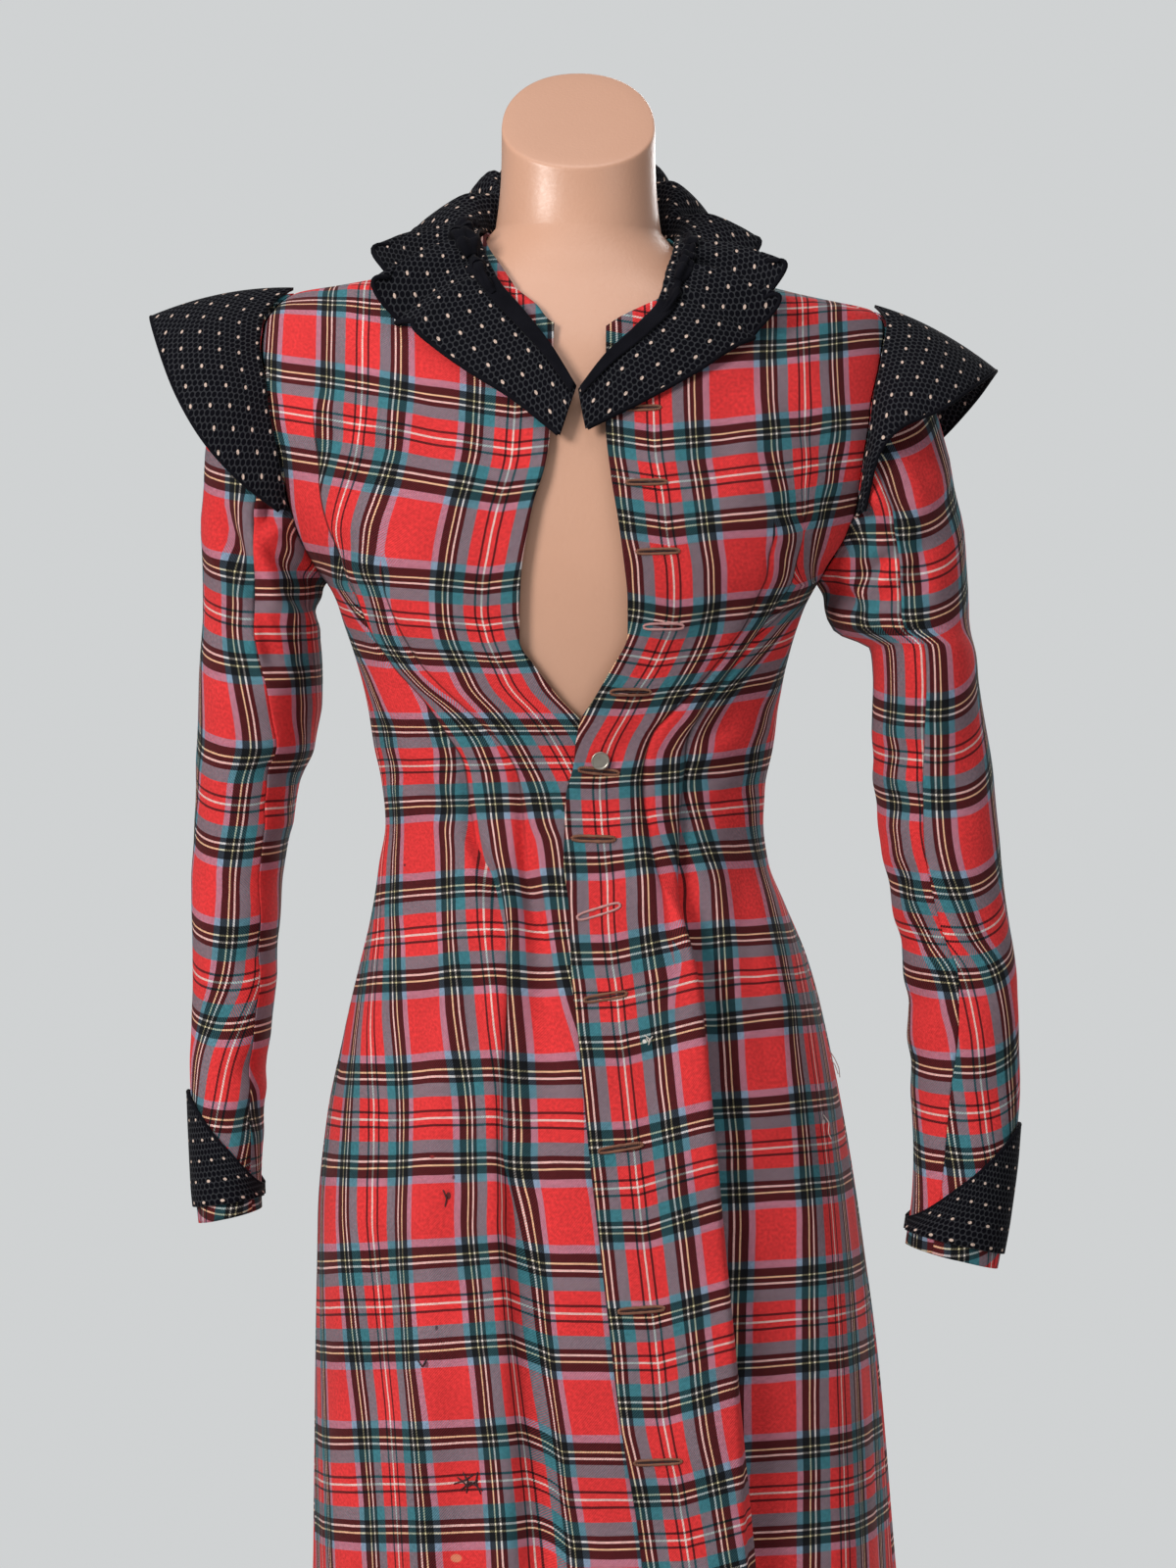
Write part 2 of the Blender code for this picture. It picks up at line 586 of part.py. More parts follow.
def column_angles(side, z):
    """Angles of a front panel's columns at a height in the skirt or waist."""
    level = min(z, CROSS_Z)
    upper = edge_angle(1, level)
    under = edge_angle(-1, level)
    first = edge_angle(side, z)
    if side > 0:
        lap = under + LAP_MARGIN
        rest = UPPER_COLUMNS
        lead = UPPER_LEAD_IN
    else:
        lap = upper - LAP_MARGIN
        rest = UNDER_COLUMNS
        lead = UNDER_LEAD_IN
    angles = [mix(first, lap, share) for share in LAP_SHARES]
    angles += [mix(lap, rest[0], share) for share in lead] + list(rest)
    last = len(angles) - 1
    even = [mix(first, side * 90.0, k / last) for k in range(last + 1)]
    share = ease((z - EVEN_FROM_Z) / (EVEN_TO_Z - EVEN_FROM_Z))
    if z <= CROSS_Z:
        share = 0.5 * ease((z - EVEN_FROM_Z) / (CROSS_Z - EVEN_FROM_Z))
    return [mix(a, e, share) for a, e in zip(angles, even)]


def panel_rows(low_row, high, start, end):
    """Rows of the bodice between a panel's top plain row and its top edge."""
    last = len(low_row) - 1

    def low(u):
        return low_row[int(round(u * last))]

    rows = []
    for r in range(1, BODICE_ROWS + 1):
        v = r / BODICE_ROWS
        rows.append([tuple(coons(c / last, v, low, high, start, end)) for c in range(last + 1)])
    return rows


def front_map(side):
    """Rows of (angle, height) for a front panel."""
    rows = [[(a, z) for a in column_angles(side, z)] for z in FRONT_ROWS]
    columns = len(rows[0]) - 1
    start_z = (UPPER_EDGE if side > 0 else UNDER_EDGE)[-1][0]

    def high(u):
        return top_edge(side, u, columns)

    def start(v):
        z = mix(PLAIN_TOP_Z, start_z, v)
        return edge_angle(side, z), z

    def end(v):
        z = side_height(v)
        return side * (90.0 if z <= UNDERARM_Z else read(ARMHOLE, z, 1)), z

    return rows + panel_rows(rows[-1], high, start, end)


def back_map(side):
    """Rows of (angle, height) for a back panel, from the side seam to the centre back."""
    rows = [[(side * a, z) for a in BACK_COLUMNS] for z in BACK_ROWS]
    seam = SHOULDER_COLUMNS / (len(BACK_COLUMNS) - 1)

    def high(u):
        if u <= seam + 1e-6:
            return side * 90.0, mix(TIP_Z, NECK_Z, u / seam)
        angle = mix(90.0, 180.0, ((u - seam) / (1.0 - seam)) ** BACK_COLUMN_POWER)
        return side * angle, read(NECKLINE, angle, 1)

    def start(v):
        z = side_height(v)
        return side * (90.0 if z <= UNDERARM_Z else 180.0 - read(ARMHOLE, z, 1)), z

    def end(v):
        return side * 180.0, mix(PLAIN_TOP_Z, read(NECKLINE, 180.0, 1), v)

    return rows + panel_rows(rows[-1], high, start, end)


def seam_angle(z, half_gap):
    """How far from the side or shoulder seam line a panel's edge stops, in degrees."""
    front, power = read(BODY, z, 3), read(BODY, z, 6)
    return math.degrees(math.asin((half_gap / front) ** (1.0 / power)))


def centre_angle(z, half_gap):
    """How far from the centre back line a panel's edge stops, in degrees."""
    half = 0.5 * (read(BODY, z, 1) + read(BODY, z, 2))
    return math.degrees(math.asin((half_gap / half) ** (1.0 / read(BODY, z, 5))))


def seam_trimmed(grid, back):
    """Keeps every place of a panel clear of its seams by half a seam gap."""
    fresh = []
    for row in grid:
        fresh_row = []
        for angle, z in row:
            size = abs(angle)
            edge = seam_angle(z, 0.5 * SEAM_GAP + SEAM_EXTRA)
            if back:
                size = max(size, 90.0 + edge)
                size = min(size, 180.0 - centre_angle(z, 0.5 * SEAM_GAP + SEAM_EXTRA))
            else:
                size = min(size, 90.0 - edge)
            fresh_row.append((math.copysign(size, angle), z))
        fresh.append(fresh_row)
    return fresh


def coat_panel(name, grid, tartan, lifted=False):
    outer = []
    inner = []
    for row in grid:
        outer_row = []
        inner_row = []
        for angle, z in row:
            lift = overlap_lift(angle, z) if lifted else 0.0
            outer_row.append(coat_point(angle, z, lift))
            inner_row.append(coat_point(angle, z, lift - TARTAN_WALL))
        outer.append(outer_row)
        inner.append(inner_row)
    return wall(name, outer, inner, tartan)


def armhole_line(side):
    """Armhole edge from the shoulder tip down the front, and up the back to the tip."""
    places = [(side * read(ARMHOLE, z, 1), z) for z in steps(TIP_Z, UNDERARM_Z, 20)]
    places += [(side * (180.0 - read(ARMHOLE, z, 1)), z) for z in steps(UNDERARM_Z, TIP_Z, 20)[1:]]
    return [smooth_point(a, z) for a, z in places]


def steps(first, last, count):
    return [mix(first, last, k / count) for k in range(count + 1)]


def along(line, share):
    """Point at a share of a polyline's length."""
    spans = [length(sub(line[k + 1], line[k])) for k in range(len(line) - 1)]
    wanted = share * sum(spans)
    for k, span in enumerate(spans):
        if wanted <= span or k == len(spans) - 1:
            return add(line[k], sub(line[k + 1], line[k]), wanted / max(span, 1e-9))
        wanted -= span
    return line[-1]


ARMHOLES = {}


def armhole_point(side, turn):
    """Armhole point: turn 0 at the shoulder tip, 90 in front, 180 under the arm."""
    if side not in ARMHOLES:
        line = armhole_line(side)
        middle = len(line) // 2
        ARMHOLES[side] = (line[:middle + 1], line[middle:])
    front, back = ARMHOLES[side]
    turn = turn % 360.0
    if turn <= 180.0:
        return along(front, turn / 180.0)
    return along(back, (turn - 180.0) / 180.0)


def sleeve_ring(side, turn, z):
    table = SLEEVE_LEFT_ARM if side > 0 else SLEEVE_RIGHT_ARM
    falling = tuple((-row[0],) + row[1:] for row in table)
    x, half, y, depth, slant = [read(falling, -z, column) for column in range(1, 6)]
    spin = math.radians(turn)
    across = signed_power(math.cos(spin), SLEEVE_POWER)
    forward = signed_power(math.sin(spin), SLEEVE_POWER)
    return (side * (x + half * across), y - depth * forward, z - slant * math.cos(spin))


def sleeve_bottom(side):
    return (SLEEVE_LEFT_ARM if side > 0 else SLEEVE_RIGHT_ARM)[-1][0]


def sleeve_top(side):
    return (SLEEVE_LEFT_ARM if side > 0 else SLEEVE_RIGHT_ARM)[0][0]


def sleeve_point(side, turn, place):
    """Outer face of a sleeve. Place 0 to 1 is the head, and past 1 it runs to the hem at 2."""
    top = sleeve_top(side)
    if place >= 1.0:
        return sleeve_ring(side, turn, mix(top, sleeve_bottom(side), place - 1.0))
    start = armhole_point(side, turn)
    lift = ARMHOLE_RISE * max(math.cos(math.radians(turn)), 0.0)
    gap = ARMHOLE_GAP_LEFT_ARM if side > 0 else ARMHOLE_GAP_RIGHT_ARM
    start = (start[0] + side * gap, start[1], start[2] + lift)
    end = sleeve_ring(side, turn, top)
    pull = HEAD_LEFT_ARM if side > 0 else HEAD_RIGHT_ARM
    out, forward, rise, straight = [read(pull, turn % 360.0, column) for column in range(1, 5)]
    first = (start[0] + side * out, start[1] + forward, start[2] + rise)
    second = (end[0], end[1], end[2] + straight)
    t = place
    s = 1.0 - t
    weights = (s * s * s, 3 * s * s * t, 3 * s * t * t, t * t * t)
    corners = (start, first, second, end)
    return tuple(sum(w * p[k] for w, p in zip(weights, corners)) for k in range(3))


def sleeve_normal(side, turn, place):
    low = max(0.0, place - 0.02)
    high = min(2.0, place + 0.02)
    round_step = sub(sleeve_point(side, turn + 2.0, place), sleeve_point(side, turn - 2.0, place))
    down_step = sub(sleeve_point(side, turn, high), sleeve_point(side, turn, low))
    normal = unit(cross(round_step, down_step))
    return normal if side > 0 else (-normal[0], -normal[1], -normal[2])


def sleeve_places(side):
    table = SLEEVE_LEFT_ARM if side > 0 else SLEEVE_RIGHT_ARM
    top = sleeve_top(side)
    bottom = sleeve_bottom(side)
    head = [k / HEAD_ROWS for k in range(HEAD_ROWS)]
    heights = [row[0] for row in table]
    extra = [0.5 * (a + b) for a, b in zip(heights, heights[1:]) if a - b > LONG_SPAN]
    heights = sorted(heights + extra, reverse=True)
    return head + [1.0 + (top - z) / (top - bottom) for z in heights]


def sleeve_turns(first, last, columns):
    return [mix(first, last, c / columns) for c in range(columns + 1)]


def sleeve_panel(name, side, first, last, columns, tartan):
    outer = []
    inner = []
    for place in sleeve_places(side):
        outer_row = []
        inner_row = []
        for c, turn in enumerate(sleeve_turns(first, last, columns)):
            if c == 0:
                turn += sleeve_gap_turn(side, turn, place)
            if c == columns:
                turn -= sleeve_gap_turn(side, turn, place)
            point = sleeve_point(side, turn, place)
            outer_row.append(point)
            inner_row.append(add(point, sleeve_normal(side, turn, place), -TARTAN_WALL))
        outer.append(outer_row)
        inner.append(inner_row)
    return wall(name, outer, inner, tartan)


def sleeve_gap_turn(side, turn, place):
    across = sub(sleeve_point(side, turn + 0.5, place), sleeve_point(side, turn - 0.5, place))
    return (0.5 * SEAM_GAP + 2.0 * SEAM_EXTRA) / max(length(across), 0.1)


def cuff(name, side, velvet):
    """Pointed cuff round the sleeve's end, tall over the outside and low at its opening."""
    outer = []
    inner = []
    bottom = sleeve_bottom(side) + CUFF_ABOVE_HEM
    top = sleeve_top(side)
    low = sleeve_bottom(side)
    reach = 180.0 - CUFF_OPEN_TURN
    turns = sleeve_turns(BACK_SEAM_TURN - 360.0, FRONT_SEAM_TURN, TOP_SLEEVE_COLUMNS)
    turns += [t if t < 180.0 else t - 360.0
              for t in sleeve_turns(FRONT_SEAM_TURN, BACK_SEAM_TURN, UNDER_SLEEVE_COLUMNS)[1:-1]]
    turns = [-reach] + sorted(t for t in turns if abs(t) < reach - CUFF_END_SPACE) + [reach]
    for r in range(CUFF_ROWS + 1):
        outer_row = []
        inner_row = []
        for turn in turns:
            point_share = (0.5 + 0.5 * math.cos(math.radians(turn))) ** CUFF_POINT_POWER
            rise = mix(CUFF_LOW, CUFF_TALL, point_share)
            z = bottom + rise * r / CUFF_ROWS
            place = 1.0 + (top - z) / (top - low)
            point = sleeve_point(side, turn, place)
            normal = sleeve_normal(side, turn, place)
            inner_row.append(add(point, normal, CUFF_LIFT))
            outer_row.append(add(point, normal, CUFF_LIFT + VELVET_WALL))
        outer.append(outer_row)
        inner.append(inner_row)
    return wall(name, outer, inner, velvet)


def cap_turn(share):
    """Turn round the armhole at a share of the cap's length, front tip to back tip."""
    return mix(CAP_REACH_TURN, -CAP_REACH_TURN, share)


def cap_point(side, share, across):
    """Middle of a shoulder cap's wall."""
    table = CAP_LEFT_ARM if side > 0 else CAP_RIGHT_ARM
    x, y, z, swell = [read(table, share, column) for column in range(1, 5)]
    outer = (side * x, y, z)
    seat = armhole_point(side, cap_turn(share))
    turn = math.radians(cap_turn(share))
    off = (side * CAP_LEAN, -math.sin(turn), max(math.cos(turn), 0.0))
    inner = add(seat, unit(off), CAP_LIFT)
    middle = add(inner, sub(outer, inner), 0.5)
    bulge = add(middle, (0.0, -math.sin(turn), abs(math.cos(turn))), swell)
    s = 1.0 - across
    return tuple(s * s * a + 2 * s * across * (2 * m - 0.5 * a - 0.5 * b) + across * across * b
                 for a, m, b in zip(inner, bulge, outer))


def sheet_normal(point_at, u, v):
    du, dv = 0.01, 0.03
    u0, u1 = max(0.0, u - du), min(1.0, u + du)
    v0, v1 = max(0.0, v - dv), min(1.0, v + dv)
    return unit(cross(sub(point_at(u1, v), point_at(u0, v)), sub(point_at(u, v1), point_at(u, v0))))


def sheet_wall(name, point_at, us, vs, thick, slot):
    """Wall of a given thickness round a middle surface."""
    outer = []
    inner = []
    for v in vs:
        outer_row = []
        inner_row = []
        for u in us:
            normal = sheet_normal(point_at, u, v)
            outer_row.append(add(point_at(u, v), normal, 0.5 * thick))
            inner_row.append(add(point_at(u, v), normal, -0.5 * thick))
        outer.append(outer_row)
        inner.append(inner_row)
    return wall(name, outer, inner, slot)


def collar_sections(table):
    """Collar rows with every depth as a real place, numbered for reading between rows."""
    fixed = []
    for k, row in enumerate(table):
        values = [float(k)]
        for column in (0, 3, 6):
            x, y, z = row[column:column + 3]
            if k < COLLAR_ON_COAT_ROWS:
                x, y, z = on_coat(x, z, y)
            elif column == 0:
                x, y, z = coat_point(x, z, y)
            values += [x, y, z]
        fixed.append(tuple(values) + (row[9], row[10]))
    return tuple(fixed)


COLLAR_ROWS_MADE = {}


def collar_point(u, v):
    """Middle of the collar's wall: u runs from the right end (0) to the left end (1)."""
    side = -1 if u < 0.5 else 1
    if side not in COLLAR_ROWS_MADE:
        COLLAR_ROWS_MADE[side] = collar_sections(COLLAR_LEFT if side > 0 else COLLAR_RIGHT)
    table = COLLAR_ROWS_MADE[side]
    last = len(table) - 1
    station = 2.0 * last * (u if side < 0 else 1.0 - u)
    neck = [read(table, station, c) for c in (1, 2, 3)]
    roll = [read(table, station, c) for c in (4, 5, 6)]
    outer = [read(table, station, c) for c in (7, 8, 9)]
    ruffle = read(table, station, 10)
    waves = read(table, station, 11)
    s = 1.0 - v
    point = [s * s * a + 2 * s * v * (2 * m - 0.5 * a - 0.5 * b) + v * v * b
             for a, m, b in zip(neck, roll, outer)]
    swing = math.sin(2.0 * math.pi * waves + RUFFLE_PHASE * side)
    share = ruffle * swing * v ** 0.9
    sidewise, forward, upward = RUFFLE_FRONT if station < RUFFLE_TURNS_AT else RUFFLE_BACK
    point[0] += side * share * sidewise
    point[1] += share * forward
    point[2] += share * upward
    return tuple(point)


def collar_share(k, count):
    """Columns of the collar, closer together in the ruffles than on the flat ends."""
    t = k / count
    few = FLAT_COLUMNS_SHARE
    if t < few:
        return FLAT_SHARE * t / few
    if t > 1.0 - few:
        return 1.0 - FLAT_SHARE * (1.0 - t) / few
    return mix(FLAT_SHARE, 1.0 - FLAT_SHARE, (t - few) / (1.0 - 2.0 * few))


def binding_point(side):
    def point_at(u, v):
        share = mix(BINDING_START, BINDING_END, u)
        across = mix(BINDING_FROM, BINDING_TO, v)
        place = share if side < 0 else 1.0 - share
        normal = sheet_normal(collar_point, place, across)
        if normal[1] - 0.5 * normal[2] > 0:
            normal = (-normal[0], -normal[1], -normal[2])
        return add(collar_point(place, across), normal, 0.5 * VELVET_WALL + LAY_GAP + 0.5 * BINDING_WALL)
    return point_at


def lathe(name, profile, sides, place, slot, axis=(0.0, 0.0, 1.0), sidewise=(1.0, 0.0, 0.0)):
    """Turned solid from (radius, height) rows, closed at both ends on its axis."""
    third = cross(axis, sidewise)
    verts = [add(place, axis, profile[0][1])]
    for radius, height in profile:
        for k in range(sides):
            turn = 2.0 * math.pi * k / sides
            point = add(add(place, sidewise, radius * math.cos(turn)), third, radius * math.sin(turn))
            verts.append(add(point, axis, height))
    verts.append(add(place, axis, profile[-1][1]))
    faces = []
    for k in range(sides):
        faces.append((0, 1 + (k + 1) % sides, 1 + k))
        end = 1 + (len(profile) - 1) * sides
        faces.append((len(verts) - 1, end + k, end + (k + 1) % sides))
        for r in range(len(profile) - 1):
            a = 1 + r * sides
            b = a + sides
            faces.append((a + k, a + (k + 1) % sides, b + (k + 1) % sides, b + k))
    return solid(name, verts, faces, slot)


def form_point(angle, z):
    left, right, front, back, side_power, depth_power = [read(BODY, z, c) for c in range(1, 7)]
    limit, side_in, front_in, back_in = [read(FORM, z, c) for c in range(1, 5)]
    left = min(left - side_in, limit)
    right = min(right - side_in, limit)
    point = ring_point(angle, z, left, right, front - front_in, back - back_in, side_power, depth_power)
    bust_z = (z - BUST_Z) / BUST_SPREAD_Z
    if abs(angle) < BUST_REACH_ANGLE:
        sideways = (abs(angle) - BUST_ANGLE) / BUST_SPREAD_ANGLE
        rise = FORM_BUST_SHARE * BUST * math.exp(-bust_z ** 2 - sideways ** 2)
        point = add(point, unit((point[0], point[1], 0.0)), rise)
    return tilted(point)


def neck_point(angle, share):
    """Neck above the shoulders: share 0 at its root, 1 at the slanted cap."""
    root = form_point(angle, NECK_Z)
    turn = math.radians(angle)
    x = NECK_HALF_WIDTH * signed_power(math.sin(turn), NECK_POWER)
    depth = signed_power(math.cos(turn), NECK_POWER)
    y = -NECK_FRONT * depth if depth > 0 else -NECK_BACK * depth
    rise = (y + NECK_FRONT) / (NECK_FRONT + NECK_BACK)
    top = (x, y, mix(CAP_FRONT_Z, CAP_BACK_Z, rise))
    curve = 1.0 - (1.0 - min(1.0, share * NECK_ROOT_SPEED)) ** NECK_ROOT_POWER
    return (mix(root[0], top[0], curve), mix(root[1], top[1], curve), mix(root[2], top[2], share))


def dress_form(name, slot):
    rings = []
    angles = [360.0 * k / FORM_SEGMENTS - 180.0 for k in range(FORM_SEGMENTS)]
    edge = [form_point(a, FORM_BOTTOM_Z) for a in angles]
    rings.append([(p[0] * FORM_FOOT_SHARE, p[1] * FORM_FOOT_SHARE, FORM_BOTTOM_Z) for p in edge])
    rings += [[form_point(a, z) for a in angles] for z in (FORM_BOTTOM_Z + FORM_FOOT_EDGE,) + FORM_ROWS[1:]]
    rings += [[neck_point(a, share) for a in angles] for share in NECK_SHARES]
    cap = [neck_point(a, 1.0) for a in angles]
    middle = (0.0, 0.5 * (NECK_BACK - NECK_FRONT), 0.5 * (CAP_FRONT_Z + CAP_BACK_Z))
    rings.append([add(p, unit(sub(middle, p)), CAP_EDGE) for p in cap])
    rings.append([add(p, sub(middle, p), 0.5) for p in cap])
    verts = [(0.0, 0.0, FORM_BOTTOM_Z)]
    for ring in rings:
        verts += ring
    verts.append(middle)
    faces = []
    count = FORM_SEGMENTS
    for k in range(count):
        after = (k + 1) % count
        faces.append((0, 1 + k, 1 + after))
        for r in range(len(rings) - 1):
            a = 1 + r * count
            b = a + count
            faces.append((a + k, b + k, b + after, a + after))
        end = 1 + (len(rings) - 1) * count
        faces.append((end + k, len(verts) - 1, end + after))
    return solid(name, verts, faces, slot)


def button(slot):
    level = BUTTON_Z
    angle = angle_at(BUTTON_X, level)
    seat = coat_point(angle, level, overlap_lift(angle, level))
    normal = coat_normal(angle, level)
    place = add(seat, normal, LAY_GAP)
    sidewise = unit(cross((0.0, 0.0, 1.0), normal))
    bend = BUTTON_BEND
    rim = BUTTON_RADIUS - BUTTON_RIM
    profile = ((BUTTON_RADIUS - 2.0 * bend, 0.0), (BUTTON_RADIUS, 2.0 * bend),
               (BUTTON_RADIUS, BUTTON_THICK - bend), (BUTTON_RADIUS - bend, BUTTON_THICK),
               (rim, BUTTON_THICK), (rim - bend, BUTTON_THICK - bend))
    return lathe("button", profile, BUTTON_SIDES, place, slot, normal, sidewise)


def build():
    clear_scene()
    tartan = material("tartan_wool", (0.55, 0.05, 0.05), 0.85)
    velvet = material("cut_velvet", (0.03, 0.035, 0.045), 0.8)
    plain_velvet = material("plain_velvet", (0.015, 0.015, 0.022), 0.85)
    skin = material("form_paint", (0.70, 0.42, 0.30), 0.38)
    metal = material("button_metal", (0.55, 0.52, 0.47), 0.35, 1.0)
    steel = material("pole_steel", (0.6, 0.6, 0.6), 0.35, 1.0)
    enamel = material("base_enamel", (0.08, 0.08, 0.085), 0.45, 0.0)

    coat_panel("front_right", seam_trimmed(front_map(-1), False), tartan)
    coat_panel("front_left", seam_trimmed(front_map(1), False), tartan, lifted=True)
    coat_panel("back_right", seam_trimmed(back_map(-1), True), tartan)
    coat_panel("back_left", seam_trimmed(back_map(1), True), tartan)

    for side, word in ((-1, "right"), (1, "left")):
        sleeve_panel("sleeve_%s_top" % word, side, BACK_SEAM_TURN - 360.0, FRONT_SEAM_TURN,
                     TOP_SLEEVE_COLUMNS, tartan)
        sleeve_panel("sleeve_%s_under" % word, side, FRONT_SEAM_TURN, BACK_SEAM_TURN,
                     UNDER_SLEEVE_COLUMNS, tartan)
        cuff("cuff_%s" % word, side, velvet)
        shares = steps(0.0, 1.0, CAP_STEPS)
        sheet_wall("cap_%s" % word, lambda u, v, side=side: cap_point(side, u, v), shares,
                   steps(0.0, 1.0, CAP_ROWS), VELVET_WALL, velvet)
        sheet_wall("collar_binding_%s" % word, binding_point(side), steps(0.0, 1.0, BINDING_STEPS),
                   (0.0, 1.0), BINDING_WALL, plain_velvet)

    shares = [collar_share(k, COLLAR_STEPS) for k in range(COLLAR_STEPS + 1)]
    sheet_wall("collar", collar_point, shares, steps(0.0, 1.0, COLLAR_ROWS), VELVET_WALL, velvet)
    button(metal)

    dress_form("dress_form", skin)
    pole_top = FORM_BOTTOM_Z - SEAM_GAP
    pole_bottom = BASE_HEIGHT + SEAM_GAP
    lathe("pole", ((POLE_RADIUS, pole_bottom), (POLE_RADIUS, pole_top)), POLE_SIDES,
          (0.0, 0.0, 0.0), steel)
    lathe("base", ((BASE_RADIUS, 0.0), (BASE_RADIUS, BASE_HEIGHT - BASE_EDGE),
                   (BASE_RADIUS - BASE_EDGE, BASE_HEIGHT)), BASE_SIDES, (0.0, 0.0, 0.0), enamel)


build()
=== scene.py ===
"""Looks of the tartan walking coat on its limbless dress form.

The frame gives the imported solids. Each cloth piece is made again here as a finer shell on
the same form, from the same sizes as the solids, with its own cloth coordinates for the
tartan. Tables are in millimetres and degrees, and meshes are in metres.
"""
import bmesh
import bpy
import math
import numpy as np
from functools import partial
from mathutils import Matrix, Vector


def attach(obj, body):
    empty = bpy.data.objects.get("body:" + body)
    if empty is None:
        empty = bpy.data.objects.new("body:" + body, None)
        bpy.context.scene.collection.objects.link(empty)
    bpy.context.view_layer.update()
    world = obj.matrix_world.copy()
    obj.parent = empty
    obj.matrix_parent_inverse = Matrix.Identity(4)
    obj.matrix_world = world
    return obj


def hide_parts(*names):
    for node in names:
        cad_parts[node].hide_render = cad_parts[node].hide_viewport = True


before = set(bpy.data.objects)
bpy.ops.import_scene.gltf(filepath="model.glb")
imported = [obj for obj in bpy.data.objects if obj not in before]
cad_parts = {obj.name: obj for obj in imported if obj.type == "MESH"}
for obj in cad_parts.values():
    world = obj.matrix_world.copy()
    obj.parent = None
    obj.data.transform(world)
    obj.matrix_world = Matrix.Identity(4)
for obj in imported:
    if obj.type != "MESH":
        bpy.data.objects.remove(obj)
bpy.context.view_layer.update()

MM = 0.001
TARTAN_WALL = 1.5
VELVET_WALL = 1.8
SEAM_HALF = 0.1
SIDES = {-1: "right", 1: "left"}

# Heights on the body
HEM_Z = 60.0
PLAIN_TOP_Z = 1150.0
UNDERARM_Z = 1187.0
TIP_Z = 1363.5
NECK_Z = 1405.0
TILT = 0.03
TILT_FROM_Z = 1150.0
TILT_FULL_Z = 1330.0

# Columns: z, left, right, front, back, side power, depth power.
BODY = (
    (60, 182, 232, 190, 262, 0.95, 0.95),
    (200, 177, 222, 181, 244, 0.95, 0.95),
    (350, 170, 211, 171, 224, 0.95, 0.95),
    (500, 164, 200, 160, 202, 0.94, 0.94),
    (581, 162, 194, 153, 190, 0.93, 0.93),
    (692, 162, 186, 143, 172, 0.92, 0.92),
    (790, 161, 174, 134, 156, 0.91, 0.91),
    (852, 155, 164, 126, 144, 0.90, 0.92),
    (901, 145, 154, 119, 132, 0.90, 0.93),
    (950, 135, 142, 110, 118, 0.90, 0.94),
    (985, 128, 129, 102, 107, 0.91, 0.95),
    (1011, 125, 118.5, 95, 98, 0.92, 0.96),
    (1036, 121, 115.6, 89, 91, 0.93, 0.97),
    (1061, 123, 117, 87, 88, 0.93, 0.98),
    (1085, 128, 122, 90, 90, 0.92, 0.98),
    (1110, 132, 125, 96, 94, 0.91, 0.98),
    (1135, 138, 130, 103, 98, 0.90, 0.98),
    (1159, 146, 137, 109, 101, 0.90, 0.98),
    (1184, 155, 147, 113, 103, 0.90, 1.00),
    (1200, 170, 161, 114, 104, 0.90, 1.00),
    (1220, 187, 179, 114, 105, 0.90, 1.00),
    (1235, 196, 188, 113, 106, 0.90, 1.00),
    (1260, 205, 196, 110, 107, 0.90, 1.00),
    (1295, 212, 201, 101, 106, 0.90, 1.03),
    (1313, 212, 201, 95, 104, 0.92, 1.10),
    (1341, 203, 197, 84, 98, 0.94, 1.18),
    (1352, 193, 194, 79, 93, 0.96, 1.22),
    (1363.5, 177, 184, 73, 87, 0.98, 1.24),
    (1369, 149, 153, 70, 84, 1.00, 1.26),
    (1376, 119, 121, 66, 79, 1.00, 1.26),
    (1383, 98, 99, 62, 74, 1.00, 1.24),
    (1391, 82, 82, 57, 69, 1.00, 1.22),
    (1398, 68, 68, 54, 65, 1.00, 1.18),
    (1405, 57, 57, 51, 62, 1.00, 1.10),
    (1415, 52, 52, 47, 60, 0.97, 1.00),
    (1430, 50, 50, 44, 59, 0.95, 0.97),
)

# Columns: z, x.
UPPER_EDGE = (
    (60, 85), (300, 63), (611, 35.9), (681, 24.8), (735, 18.5), (786, 12.6), (837, 6.8),
    (907, 0.2), (945, -3.9), (988, -5.6), (1012, -8.7), (1053, -7.5), (1073, -2.8),
    (1086, -1.5), (1100, 1.4), (1112, 9.1), (1130, 19.8), (1151, 30), (1173, 29.8),
    (1196, 27.5), (1219, 24.5), (1249, 19.8), (1279, 16.8), (1341, 17.0),
)
UNDER_EDGE = (
    (60, 103), (300, 84), (611, 60), (735, 45), (850, 34), (945, 25), (1012, 21),
    (1053, 22), (1073, 21), (1086, 13), (1100, 1.4), (1112, -10.5), (1133, -27),
    (1147, -35.5), (1166, -35.3), (1189, -34.2), (1213, -30.6), (1231, -27), (1249, -21.1),
    (1260, -18.8), (1273, -17), (1342, -14.6),
)
# Columns: angle, z.
NECKLINE = (
    (0, 1338), (3, 1341.5), (7.4, 1353), (11.1, 1360), (18, 1370), (28, 1380), (45, 1392),
    (66, 1400), (90, 1405), (120, 1406), (150, 1407), (180, 1408),
)
# Columns: z, angle.
ARMHOLE = (
    (1187, 90), (1191, 82), (1198, 74.5), (1214, 67), (1235, 63), (1260, 61.2), (1295, 62.3),
    (1313, 65), (1330, 69.5), (1341, 73.4), (1352, 79.5), (1359, 85), (1363.5, 90),
)

